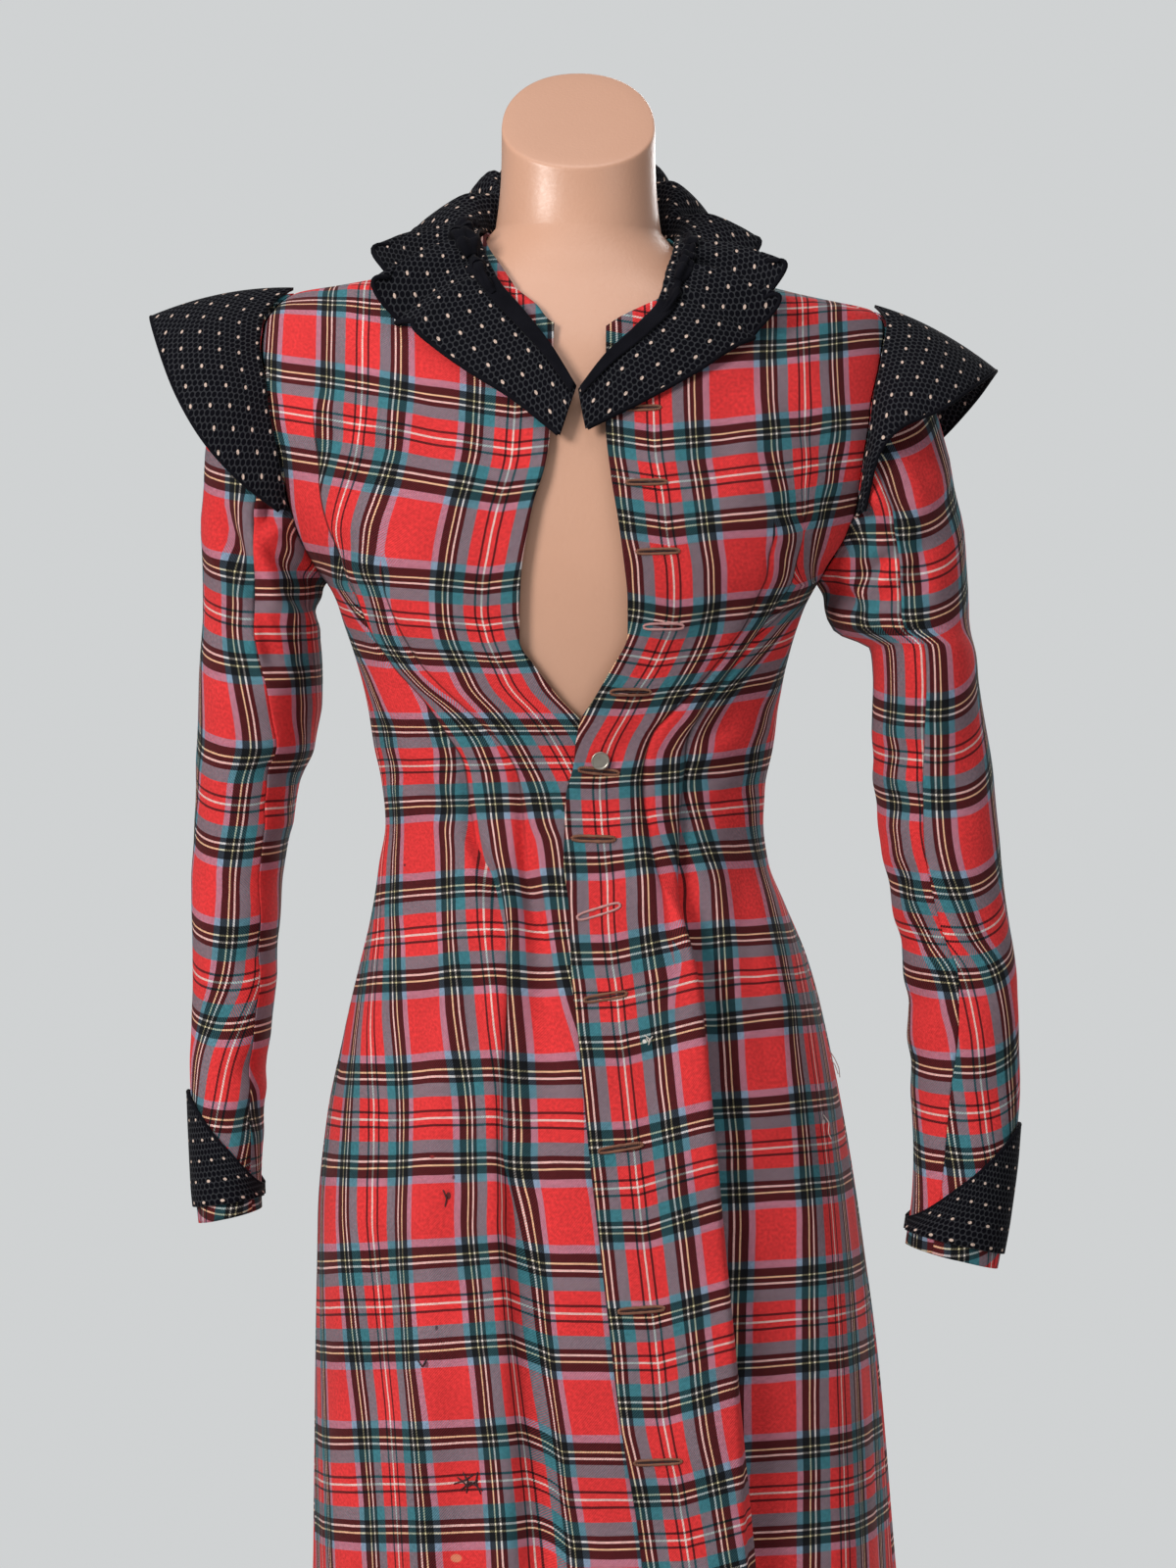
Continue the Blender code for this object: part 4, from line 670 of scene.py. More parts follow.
# Darts: the lines that they follow on each front, nearer the edge first, with the pleat or
# fold that each runs out into.
# Columns: z, x.
DART_LINES = {
    -1: (((60, 32), (700, -2), (850, -14), (919, -19.3), (966, -22.3), (989, -26.6),
          (1013, -30.8), (1031, -32.7), (1055, -35.7), (1067, -37.5), (1076, -41.7),
          (1085, -47.6), (1097, -59.6), (1121, -83.6), (1135, -95.7), (1145, -101.7),
          (1155, -106.5), (1169, -111.9), (1180, -114.8), (1190, -115.9)),
         ((60, 4), (599, -14.3), (697, -26.1), (767, -33.8), (808, -37), (843, -43),
          (895, -42.9), (930, -42.6), (948, -44.3), (963, -46.1), (983, -50.4), (1007, -55.3),
          (1031, -65.1), (1049, -68.2), (1073, -71.2), (1091, -80.8), (1109, -94.8),
          (1133, -114.4), (1157, -127.8), (1181, -136.5), (1193, -141), (1214, -149),
          (1232, -154.8), (1257, -158.5), (1287, -162.2))),
    1: (((60, 128), (591, 84), (800, 66), (900, 56), (972, 49.5), (1001, 47.3), (1028, 42.6),
         (1061, 39.6), (1073, 40.2), (1083, 42.6), (1093, 46.8), (1101, 53.9), (1111, 64.1),
         (1128, 79.1), (1148, 93), (1160, 100.2), (1174, 105.6), (1192, 111.5),
         (1216, 116.5)),
        ((60, 150), (591, 108.4), (661, 100.3), (707, 95.1), (754, 90.4), (801, 87),
         (824, 83.6), (860, 78.9), (901, 73.1), (936, 69.1), (966, 65.1), (1001, 64.1),
         (1037, 64.3), (1067, 66.1), (1085, 67.3), (1094, 69.7), (1103, 75.1), (1115, 82.3),
         (1127, 90.1), (1154, 108.4), (1168, 117.6), (1180, 124.9), (1188, 128), (1216, 135))),
}
DART_TOP_Z = {-1: (1190.0, 1287.0), 1: (1216.0, 1216.0)}
DART_SEWN_Z = {-1: (1082.0, 1082.0), 1: (1082.0, 1088.0)}
HARD_FROM_Z = {-1: (860.0, 760.0), 1: (925.0, -200.0)}
# Form of the cloth along each of these lines: the groove, its half width, and how far the
# cloth steps back beyond the line.
# Columns: z, groove, width, step.
LINE_FORMS = {
    -1: (((800, 0, 12, 0), (870, 2.4, 11, 0), (940, 4.4, 9, 0), (1000, 6.0, 5.5, 0.6),
          (1055, 5.0, 3.6, 0.6), (1078, 2.4, 2.6, 0.3), (1172, 1.2, 2.6, 0), (1190, 0, 2.6, 0)),
         ((250, 0, 22, 0), (500, 3.0, 19, 0), (650, 5.5, 15, 0), (760, 7.0, 13, 0),
          (850, 6.5, 10, -0.5), (920, 6.0, 9, -1.0), (1000, 7.0, 5.5, -1.0), (1055, 5.4, 3.6, -0.6),
          (1078, 2.4, 2.6, 0), (1200, 1.4, 2.6, 0), (1287, 0, 2.6, 0))),
    1: (((900, 0, 10, 0), (950, 2.2, 8, 0), (1000, 4.6, 5.5, 0.5), (1055, 4.4, 3.6, 0.6),
         (1078, 2.4, 2.6, 0.3), (1190, 1.2, 2.6, 0), (1216, 0, 2.6, 0)),
        ((60, 2.5, 12, 5.0), (600, 3.0, 9, 5.0), (900, 3.0, 7, 4.6), (1000, 4.0, 5, 3.6),
         (1052, 4.0, 3.6, 2.0), (1080, 2.4, 2.6, 0.3), (1190, 1.2, 2.6, 0), (1216, 0, 2.6, 0))),
}

# Plaid lines: the height and the sideways place of one line of the plaid in each of the
# three parts of a front, with its cloth distance from the pivot stripe nearest the edge.
# Columns: z, x.
SETT_ACROSS = 97.0
SETT_ALONG = 111.4
PLAID_LINES = {
    -1: ((0.0, ((60, 114), (600, 70), (750, 50), (852, 38), (901, 28), (942, 19.2), (972, 14.5),
                (1026, 8.5), (1037, 4.4), (1061, -1.6), (1074, -7.6), (1092, -17.7),
                (1102, -25.4), (1119, -40.9), (1129, -46.2), (1139, -50.9), (1150, -55.1),
                (1165, -57.4), (1179, -56.7), (1203, -53.1), (1224, -48.9), (1265, -39.5),
                (1400, -35))),
         (-72.5, ((60, 43), (594, -2), (640, -9.6), (697, -17.3), (732, -22), (767, -25.6),
                  (808, -30.3), (837, -33.9), (866, -34), (895, -35.2), (919, -37.1),
                  (942, -38.9), (966, -40.2), (983, -41.4), (1019, -47.6), (1037, -50.1),
                  (1067, -53.7), (1076, -56.1), (1085, -59.7), (1097, -68.7), (1109, -80.7),
                  (1121, -94.6), (1133, -105), (1150, -113.8), (1175, -119.9), (1200, -126),
                  (1215, -127.8), (1243, -123.6), (1273, -118.7), (1303, -115.1),
                  (1337, -110.2), (1400, -106))),
         (-145.5, ((60, -28), (597, -66.6), (638, -70.3), (696, -76.9), (742, -81.8),
                   (800, -87.3), (859, -87.6), (918, -92.8), (977, -97.1), (1019, -98.7),
                   (1067, -99.5), (1088, -101.8), (1106, -107.2), (1123, -115.8),
                   (1151, -133), (1176, -149), (1189, -155), (1229, -165), (1257, -171.3),
                   (1281, -175), (1330, -177), (1400, -177)))),
    1: ((0.0, ((60, 128), (635, 57.1), (676, 50.1), (717, 46), (775, 39.6), (802, 36.7),
               (843, 32.1), (878, 28), (907, 25.1), (936, 22.7), (954, 20.4), (978, 18),
               (1001, 16.9), (1019, 15.1), (1037, 13.9), (1061, 13.3), (1079, 16.9),
               (1089, 21.1), (1100, 27.6), (1117, 35.9), (1126, 41.9), (1144, 51.4),
               (1156, 56.1), (1168, 57.8), (1191, 57.2), (1212, 53.6), (1242, 50),
               (1265, 46.5), (1400, 42))),
        (63.2, ((60, 190), (900, 92), (954, 81.2), (977, 68.7), (1001, 61.1), (1013, 56.4),
                (1031, 49.2), (1049, 46.8), (1064, 46.8), (1078, 48), (1086, 51.6), (1094, 57),
                (1101, 63), (1118, 73.8), (1128, 81), (1139, 88.8), (1151, 96), (1163, 103.3),
                (1180, 111), (1200, 116.5), (1233, 118.5), (1276, 116), (1337, 108.5),
                (1400, 102))),
        (145.5, ((60, 156), (595, 122.2), (683, 121.4), (799, 120.8), (835, 119.2),
                 (894, 114.8), (953, 109.3), (1000, 102.7), (1037, 94.3), (1061, 91.2),
                 (1085, 95.4), (1107, 103.3), (1138, 121.4), (1172, 141.4), (1196, 153),
                 (1227, 163.5), (1276, 172.5), (1337, 177), (1400, 178)))),
}
MERGE_Z = {-1: (850.0, 942.0), 1: (915.0, 962.0)}
SOFT_HALF = 20.0
# Heights of the plaid's white pivot stripes that run round the body, with the slope of each
# away from the front centre up to the second dart, and its slope and rise beyond that.
# Columns: z, turns, slope, far slope, far rise.
WEFT = {
    -1: ((-40, -11.05, 0, -0.08, 13), (60, -10.15, 0, -0.08, 13), (410, -7, 0, -0.085, 13),
         (521, -6, 0, -0.085, 13), (633.7, -5, 0, -0.085, 13), (743.6, -4, 0, -0.10, 10),
         (859.4, -3, 0, -0.05, 1.5), (972, -2, 0, -0.07, 0.5), (1074.3, -1, -0.02, -0.02, 0),
         (1157, 0, 0.10, 0.10, 0), (1262, 1, 0.15, 0.15, 0), (1362, 2, 0.12, 0.12, 0),
         (1460, 3, 0.1, 0.1, 0)),
    1: ((-40, -11.05, 0.25, 0, 8), (60, -10.1, 0.25, 0, 8), (400, -7, 0.25, 0, 9),
        (504, -6, 0.25, 0, 9), (609.8, -5, 0.25, 0, 10), (714.9, -4, 0.25, 0, 7),
        (818.8, -3, 0.25, 0, 7), (929.7, -2, 0.22, 0, 2), (1039.4, -1, 0.08, 0.05, 0),
        (1136, 0, 0.14, 0.14, 0), (1243, 1, 0.15, 0.15, 0), (1345, 2, 0.15, 0.15, 0),
        (1450, 3, 0.1, 0.1, 0)),
}
ROW_SOFT_HALF = {-1: 13.0, 1: 2.5}
# Heights over which a dart's shift of the plaid fades out above the dart, sets in hard below
# its start and ends hard at its top, and the lapel's part where the stripes slope as well.
SHIFT_FADE_Z = 80.0
HARD_EASE_Z = 60.0
HARD_END_Z = 15.0
LAPEL_FROM_Z = 1090.0
LAPEL_EASE_Z = 40.0
FLAT_FROM_Z = 1300.0
ARC_STEP_ANGLE = 0.5
ARC_STEP_Z = 5.0
LAST_CELL = 1.001


def arc_table():
    """Cloth distance round the coat from the front centre, for each height and angle."""
    angles = np.arange(-180.0, 180.0 + ARC_STEP_ANGLE, ARC_STEP_ANGLE)
    heights = np.arange(HEM_Z, FLAT_FROM_Z + ARC_STEP_Z, ARC_STEP_Z)
    total = run_along(smooth_point(angles[None, :], heights[:, None]), 1)
    centre = len(angles) // 2
    return total - total[:, centre:centre + 1]


ARCS = arc_table()


def arc_at(angle, z):
    rows, columns = ARCS.shape
    row = np.clip((z - HEM_Z) / ARC_STEP_Z, 0, rows - LAST_CELL)
    column = np.clip((angle + 180.0) / ARC_STEP_ANGLE, 0, columns - LAST_CELL)
    r, c = row.astype(int), column.astype(int)
    fr, fc = row - r, column - c
    return ((ARCS[r, c] * (1 - fc) + ARCS[r, c + 1] * fc) * (1 - fr)
            + (ARCS[r + 1, c] * (1 - fc) + ARCS[r + 1, c + 1] * fc) * fr)


def flattened(angle, z):
    """Angle and height that cloth over the shoulder has lower down, and the way up from it."""
    here = bare_point(angle, z)
    low = np.minimum(z, FLAT_FROM_Z)
    front_angle = angle_at(here[..., 0], low)
    over = z > FLAT_FROM_Z
    back = np.abs(angle) > 90.0
    seen = np.where(back, np.where(angle > 0, 180.0, -180.0) - front_angle, front_angle)
    seen = np.where(over, seen, angle)
    foot = bare_point(seen, low)
    way = np.hypot(here[..., 2] - foot[..., 2], here[..., 1] - foot[..., 1])
    return seen, low, np.where(over, way, 0.0)


def line_arc(line, low):
    return arc_at(angle_at(read(line, low, 1), low), low)


def front_cloth(side, angle, z):
    """Cloth coordinates on a front, its distances from the darts, and each dart's take-in."""
    seen, low, way = flattened(angle, z)
    arc = arc_at(seen, low)
    offsets = [cloth - line_arc(line, low) for cloth, line in PLAID_LINES[side]]
    start, full = MERGE_Z[side]
    kept, other = (1, 0) if side < 0 else (0, 1)
    offsets[other] = mix(offsets[kept], offsets[other], ease((low - start) / (full - start)))
    across = arc + offsets[0]
    distances, steps = [], []
    for k, line in enumerate(DART_LINES[side]):
        away = side * (arc - line_arc(line, low))
        above = low - DART_TOP_Z[side][k]
        step = (offsets[k + 1] - offsets[k]) * (1.0 - ease(above / SHIFT_FADE_Z))
        hard = ease((low - HARD_FROM_Z[side][k]) / HARD_EASE_Z) * (1.0 - ease(above / HARD_END_Z))
        across = across + (1.0 - hard) * step * ease((away + SOFT_HALF) / (2.0 * SOFT_HALF))
        steps.append(hard * step)
        distances.append(away)
    _, slope, far_slope, far_rise = row_at(WEFT[side], low)
    from_pivot = side * (arc + offsets[0])
    beyond = distances[1]
    near = np.maximum(from_pivot, 0.0) - np.maximum(beyond, 0.0)
    near = near + np.maximum(-from_pivot, 0.0) * ease((low - LAPEL_FROM_Z) / LAPEL_EASE_Z)
    half = ROW_SOFT_HALF[side]
    rise = slope * near + far_slope * np.maximum(beyond, 0.0)
    rise = rise + far_rise * ease((beyond + half) / (2.0 * half))
    turns = read(WEFT[side], low - rise, 1) + way / SETT_ALONG
    return across, turns * SETT_ALONG, distances, steps


def back_cloth(side, angle, z):
    seen, low, way = flattened(angle, z)
    arc = arc_at(seen, low) - arc_at(np.full_like(low, side * 180.0), low)
    turns = read(WEFT[side], low, 1) + way / SETT_ALONG
    return arc + 0.5 * SETT_ACROSS, turns * SETT_ALONG


def finished_mesh(name, made):
    for face in made.faces:
        face.smooth = True
    mesh = bpy.data.meshes.new(name)
    made.to_mesh(mesh)
    made.free()
    return mesh


def surface_mesh(name, points):
    """Grid mesh through points (rows, columns, 3) in millimetres."""
    rows, columns = points.shape[:2]
    made = bmesh.new()
    bmesh.ops.create_grid(made, x_segments=columns - 1, y_segments=rows - 1, size=1.0)
    places = np.array([v.co[:] for v in made.verts])
    column = np.rint((places[:, 0] + 1.0) * 0.5 * (columns - 1)).astype(int)
    row = np.rint((places[:, 1] + 1.0) * 0.5 * (rows - 1)).astype(int)
    mesh = finished_mesh(name, made)
    flat = points[row, column] * MM
    mesh.vertices.foreach_set("co", flat.astype(np.float32).ravel())
    mesh.update()
    return mesh, row, column


def turned_out(mesh, outward):
    """Flips the mesh if its faces don't look along the outward directions given."""
    count = len(mesh.polygons)
    normals = np.empty(count * 3)
    mesh.polygons.foreach_get("normal", normals)
    first = np.array([p.vertices[0] for p in mesh.polygons])
    if np.sum(normals.reshape(-1, 3) * outward[first]) < 0:
        mesh.flip_normals()


def add_cloth_map(mesh, across, along):
    layer = mesh.uv_layers.new(name="cloth")
    corner = np.empty(len(mesh.loops), dtype=int)
    mesh.loops.foreach_get("vertex_index", corner)
    flat = np.stack([across[corner], along[corner]], axis=-1) * MM
    layer.data.foreach_set("uv", flat.astype(np.float32).ravel())


def piece(name, mesh, material, nodes=()):
    thing = bpy.data.objects.new(name, mesh)
    bpy.context.scene.collection.objects.link(thing)
    mesh.materials.clear()
    mesh.materials.append(material)
    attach(thing, "root")
    if nodes:
        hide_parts(*nodes)
    return thing


def cloth_piece(name, points, outward, across, along, material, nodes, thick,
                vectors=(), offset=-1.0):
    """A shell of cloth through a grid of points, with its cloth map and extra values."""
    mesh, row, column = surface_mesh(name, points)
    turned_out(mesh, outward[row, column])
    add_cloth_map(mesh, across[row, column], along[row, column])
    for word, values in vectors:
        attribute = mesh.attributes.new(word, "FLOAT_VECTOR", "POINT")
        attribute.data.foreach_set("vector", values[row, column].astype(np.float32).ravel())
    thing = piece(name, mesh, material, nodes)
    wall = thing.modifiers.new("cloth thickness", "SOLIDIFY")
    wall.thickness = thick * MM
    wall.offset = offset
    wall.use_even_offset = False
    wall.use_rim = True
    return thing


def new_group(name, inputs, outputs):
    """Shader group with inputs (name, type, start value or None) and outputs (name, type)."""
    group = bpy.data.node_groups.new(name, "ShaderNodeTree")
    for word, kind, value in inputs:
        socket = group.interface.new_socket(name=word, in_out="INPUT",
                                            socket_type="NodeSocket" + kind)
        if value is not None:
            socket.default_value = value
    for word, kind in outputs:
        group.interface.new_socket(name=word, in_out="OUTPUT", socket_type="NodeSocket" + kind)
    net = Net(group)
    return group, net, net.signals(net.node("NodeGroupInput")), net.node("NodeGroupOutput")


class Signal:
    """A value in a net of nodes, with which others are made by plain arithmetic."""

    def __init__(self, net, socket):
        self.net = net
        self.socket = socket

    def __add__(self, other):
        return self.net.math("ADD", self, other)

    def __sub__(self, other):
        return self.net.math("SUBTRACT", self, other)

    def __rsub__(self, other):
        return self.net.math("SUBTRACT", other, self)

    def __mul__(self, other):
        return self.net.math("MULTIPLY", self, other)

    def __truediv__(self, other):
        return self.net.math("DIVIDE", self, other)


class Net:
    """Short calls for wiring the nodes of a material or group."""

    def __init__(self, tree):
        self.tree = tree

    def node(self, kind, inputs=(), **values):
        """New node with its settings, and its inputs given as numbers, colours or signals."""
        made = self.tree.nodes.new(kind)
        for word, value in values.items():
            setattr(made, word, value)
        self.fill(made, inputs)
        return made

    def fill(self, node, inputs):
        for word, source in dict(inputs).items():
            target = node.inputs[word]
            if isinstance(source, (int, float, tuple)):
                target.default_value = source
            else:
                self.tree.links.new(source.socket, target)

    def signals(self, node):
        return {socket.name: Signal(self, socket) for socket in node.outputs}

    def first(self, kind, inputs=(), output=0, **values):
        """Signal from one output of a new node."""
        return Signal(self, self.node(kind, inputs, **values).outputs[output])

    def group(self, tree, inputs):
        return self.signals(self.node("ShaderNodeGroup", inputs, node_tree=tree))

    def math(self, operation, *values, clamp=False):
        return self.first("ShaderNodeMath", enumerate(values), operation=operation,
                          use_clamp=clamp)

    def vector(self, operation, inputs):
        return self.first("ShaderNodeVectorMath", inputs, operation=operation)

    def away(self, x, y):
        return self.math("SQRT", x * x + y * y)

    def blend(self, share, a, b):
        return self.first("ShaderNodeMix", {0: share, 6: a, 7: b}, 2, data_type="RGBA")

    def split(self, vector):
        made = self.node("ShaderNodeSeparateXYZ", {0: vector})
        return [Signal(self, socket) for socket in made.outputs]

    def noise(self, vector, scale, detail, rough):
        return self.first("ShaderNodeTexNoise", {"Vector": vector, "Scale": scale,
                                                 "Detail": detail, "Roughness": rough}, "Fac")

    def range(self, value, low, high, to_low, to_high):
        return self.first("ShaderNodeMapRange", {
            "Value": value, "From Min": low, "From Max": high, "To Min": to_low,
            "To Max": to_high}, interpolation_type="SMOOTHSTEP")

    def cloth_place(self):
        return self.first("ShaderNodeUVMap", uv_map="cloth")

    def object_place(self):
        return self.first("ShaderNodeTexCoord", (), "Object")


def new_material(name, seen):
    """A material, its net and its shader."""
    material = bpy.data.materials.new(name)
    material.use_nodes = True
    material.diffuse_color = seen + (1.0,)
    return material, Net(material.node_tree), material.node_tree.nodes["Principled BSDF"]


def relief(net, shader, height, strength, distance):
    bump = net.first("ShaderNodeBump", {"Strength": strength, "Distance": distance,
                                        "Height": height})
    net.fill(shader, {"Normal": bump})


# Threads of half a sett, from the middle of the wide red stripe to the white pivot:
# width, colour and how much of the other thread it hides where the two cross.
# Columns: width, colour, cover.
RED = (0.77, 0.042, 0.044)
BLUE = (0.24, 0.33, 0.46)
BLACK = (0.005, 0.006, 0.008)
YELLOW = (0.84, 0.74, 0.44)
WHITE = (0.86, 0.78, 0.72)
GREEN = (0.050, 0.200, 0.240)
HALF_SETT = (
    (26.6, RED, 1.0), (7.8, BLUE, 1.0), (8.3, BLACK, 9.0), (1.9, YELLOW, 1.6),
    (4.6, BLACK, 9.0), (1.9, WHITE, 1.6), (5.2, BLACK, 9.0), (12.5, GREEN, 3.0),
    (12.8, RED, 1.0), (2.2, BLACK, 5.0), (5.2, RED, 1.0), (1.1, WHITE, 1.9),
)
COVER_TOP = 12.0
TWILL = 1.55


def thread_group():
    """Colour and cover of the thread at a place across the sett."""
    group, net, given, out = new_group("tartan threads", [("Place", "Float", 0.0)],
                                       [("Colour", "Color"), ("Cover", "Float")])
    turn = net.math("FRACT", given["Place"] + 0.5)
    pivot_share = 1.0 - net.math("ABSOLUTE", turn - 0.5) * 2.0
    ramp = net.node("ShaderNodeValToRGB", {0: pivot_share})
    band = ramp.color_ramp
    band.interpolation = "CONSTANT"
    total = sum(row[0] for row in HALF_SETT)
    place = 0.0
    for k, (width, colour, cover) in enumerate(HALF_SETT):
        stop = band.elements[0] if k == 0 else band.elements.new(place / total)
        stop.position = place / total
        stop.color = colour + (cover / COVER_TOP,)
        place += width
    band.elements.remove(band.elements[-1])
    made = net.signals(ramp)
    net.fill(out, {"Colour": made["Color"], "Cover": made["Alpha"]})
    return group


# The weave: how far its lines waver, how much each thread stands out where two cross, its
# fuzz and its wear as noise (scale, detail, roughness), and the tones of fuzz and wear and the
# painted shade of the ribs, darker in the twill's grooves, as (from, to, darkest, lightest).
FUZZ = (520.0, 3.0, 0.6)
WEAR = (14.0, 4.0, 0.6)
WAVER = (0.0045, 0.0045, 0.0)
CROSS_POWER = 1.5
CROSS_GAIN = 6.4
FUZZ_TONES = (0.3, 0.7, 0.80, 1.14)
WEAR_TONES = (0.3, 0.72, 0.90, 1.07)
RIB_SHADE_TONES = (-1.0, 1.0, 0.93, 1.04)


def tartan_group(threads):
    """Woven tartan from cloth coordinates in metres: its colour and the height of its weave."""
    group, net, given, out = new_group(
        "woven tartan", [("Cloth", "Vector", None), ("Sett across", "Float", SETT_ACROSS * MM),
                         ("Sett along", "Float", SETT_ALONG * MM)],
        [("Colour", "Color"), ("Height", "Float")])
    drift = net.first("ShaderNodeTexNoise", {"Vector": given["Cloth"], "Scale": 9.0,
                                             "Detail": 3.0}, "Color", noise_dimensions="2D")
    shift = net.vector("SUBTRACT", {0: drift, 1: (0.5, 0.5, 0.5)})
    cloth = net.vector("MULTIPLY_ADD", {0: shift, 1: WAVER, 2: given["Cloth"]})
    x, y, _ = net.split(cloth)
    warp = net.group(threads, {"Place": x / given["Sett across"]})
    weft = net.group(threads, {"Place": y / given["Sett along"]})
    pace = 1.0 / (TWILL * MM)
    wave = net.math("SINE", (x * pace - y * pace) * (2.0 * math.pi))
    share = warp["Cover"] / (warp["Cover"] + weft["Cover"])
    room = net.math("POWER", share * (1.0 - share), CROSS_POWER) * CROSS_GAIN
    pick = net.math("ADD", share, wave * 0.5 * room, clamp=True)
    fuzz = net.noise(cloth, *FUZZ)
    wear = net.noise(cloth, *WEAR)
    tone_and_rib_shade = net.range(fuzz, *FUZZ_TONES) * net.range(wear, *WEAR_TONES)
    # Painted shade: the twill's grooves, where the relief dips, are drawn darker.
    tone_and_rib_shade = tone_and_rib_shade * net.range(wave, *RIB_SHADE_TONES)
    colour = net.vector("SCALE", {0: net.blend(pick, weft["Colour"], warp["Colour"]),
                                  "Scale": tone_and_rib_shade})
    net.fill(out, {"Colour": colour, "Height": wave * 0.5 + fuzz})
    return group


# Dark line along a dart: the sewn seam and, below where the sewing ends, painted shade in the
# crease of the fold that the dart runs into. Its half width in metres where it is full and where it
# ends, how much it darkens the cloth, and its colour.
SEAM_AND_CREASE_SHADE_LINE = (0.0003, 0.0012)
SEAM_AND_CREASE_SHADE_STRENGTH = 0.75
SEAM_AND_CREASE_SHADE_DARK = (0.02, 0.012, 0.012, 1.0)
MARK_EDGE = (0.75, 1.1)
# Surface of the wool, and of the two velvets: relief as its strength and its depth in metres.
WOOL_SURFACE = {"Roughness": 0.86, "Specular IOR Level": 0.14, "Sheen Weight": 0.05,
                "Sheen Roughness": 0.45}
WOOL_RELIEF = (0.42, 0.0005)
WOOL_SEEN = (0.5, 0.06, 0.06)
VELVET_SURFACE = {"Roughness": 0.92, "Specular IOR Level": 0.05, "Sheen Weight": 0.03,
                  "Sheen Roughness": 0.35}
VELVET_RELIEF = (0.6, 0.0009)
VELVET_SEEN = (0.02, 0.022, 0.03)
VELVET_GRAIN = (900.0, 2.0, 0.6)
PLAIN_RELIEF = (0.6, 0.0004)
PLAIN_GRAIN = (1400.0, 2.0, 0.6)
PLAIN_CLOUDS = (60.0, 3.0, 0.55)
VELVET_GRAIN_HEIGHT = 0.25
# Paints, metals and threads: noise of their tones and of their grain as (detail, roughness),
# the part of the grain that is read, the least and most roughness beside the finish's own,
# the gloss coat's roughness and the relief's strength.
TONE_NOISE = (4.0, 0.55)
GRAIN_NOISE = (2.0, 0.5)
GRAIN_SPAN = (0.2, 0.8)
SMOOTHER, ROUGHER = 0.06, 0.08
COAT_ROUGHNESS = 0.28
FINISH_RELIEF = 0.35
FINE_GRAIN = 700.0


def tartan_material(name, group, darts=False, marks=()):
    """Wool tartan. Darts shift the cloth map where cloth was taken in. Each dart's line is
    darkened: its seam, and below the sewing painted shade in the fold's crease.
    """
    material, net, shader = new_material(name, WOOL_SEEN)
    cloth = net.cloth_place()
    if darts:
        away, taken = [net.split(net.first("ShaderNodeAttribute", (), "Vector",
                                           attribute_name=word)) for word in ("darts", "taken")]
        shifts = [net.math("GREATER_THAN", away[k], 0.0) * taken[k] for k in range(2)]
        seam_and_crease_shades = [net.range(net.math("ABSOLUTE", away[k]), *SEAM_AND_CREASE_SHADE_LINE, 1.0, 0.0) * strength
                 for k, strength in enumerate((away[2], taken[2]))]
        x, y, _ = net.split(cloth)
        cloth = net.first("ShaderNodeCombineXYZ", {0: x + (shifts[0] + shifts[1]), 1: y})
    weave = net.group(group, {"Cloth": cloth})
    colour = weave["Colour"]
    if darts:
        # Painted shade: the cloth is darkened along each dart line, on the seam and in the fold's
        # crease below it.
        dark = net.blend(SEAM_AND_CREASE_SHADE_STRENGTH, colour, SEAM_AND_CREASE_SHADE_DARK)
        colour = net.blend(net.math("MAXIMUM", *seam_and_crease_shades), colour, dark)
    if marks:
        colour = with_marks(net, colour, marks)
    net.fill(shader, dict(WOOL_SURFACE, **{"Base Color": colour}))
    relief(net, shader, weave["Height"], *WOOL_RELIEF)
    return material


def with_marks(net, colour, marks):
    """Small spots and stains at places on the cloth, read from the object's own space."""
    across, depth, up = net.split(net.object_place())
    for x, z, wide, tall, tint, strength in marks:
        away = net.away((across - x * MM) / (wide * MM), (up - z * MM) / (tall * MM))
        front = net.math("LESS_THAN", depth, 0.0)
        mask = net.range(away, *MARK_EDGE, strength, 0.0) * front
        colour = net.blend(mask, colour, tint + (1.0,))
    return colour


def dot_group():
    """Staggered rows of ovals: 1 inside an oval, fading to 0 at its rim."""
    sizes = [(word, "Float", None) for word in ("Pitch", "Row", "Wide", "Tall", "Softness")]
    group, net, given, out = new_group("staggered ovals", [("Cloth", "Vector", None)] + sizes,
                                       [("Mask", "Float")])
    x, y, _ = net.split(given["Cloth"])
    row = y / given["Row"]
    odd = net.math("FRACT", net.math("FLOOR", row) * 0.5)
    column = x / given["Pitch"] + odd
    dx = (net.math("FRACT", column) - 0.5) * given["Pitch"]
    dy = (net.math("FRACT", row) - 0.5) * given["Row"]
    away = net.away(dx / given["Wide"], dy / given["Tall"])
    net.fill(out, {"Mask": net.range(away, 1.0 - given["Softness"], 1.0, 1.0, 0.0)})
    return group


# Ovals of pile and pale dots of the cut velvet, in metres, and its colours.
VELVET_CELLS = {"Pitch": 0.0040, "Row": 0.0035, "Wide": 0.00195, "Tall": 0.00185,
                "Softness": 0.25}
VELVET_DOTS = {"Pitch": 0.0137, "Row": 0.0128, "Wide": 0.0017, "Tall": 0.0011,
               "Softness": 0.35}
DOTS_MOVED = (0.003, 0.004, 0.0)
PILE_TONES = ((0.0015, 0.0015, 0.003, 1.0), (0.005, 0.005, 0.008, 1.0))
GROUND_TONES = ((0.016, 0.018, 0.022, 1.0), (0.046, 0.046, 0.052, 1.0))
PLAIN_TONES = ((0.0025, 0.0025, 0.004, 1.0), (0.010, 0.010, 0.014, 1.0))
DOT_COLOUR = (0.66, 0.50, 0.42, 1.0)


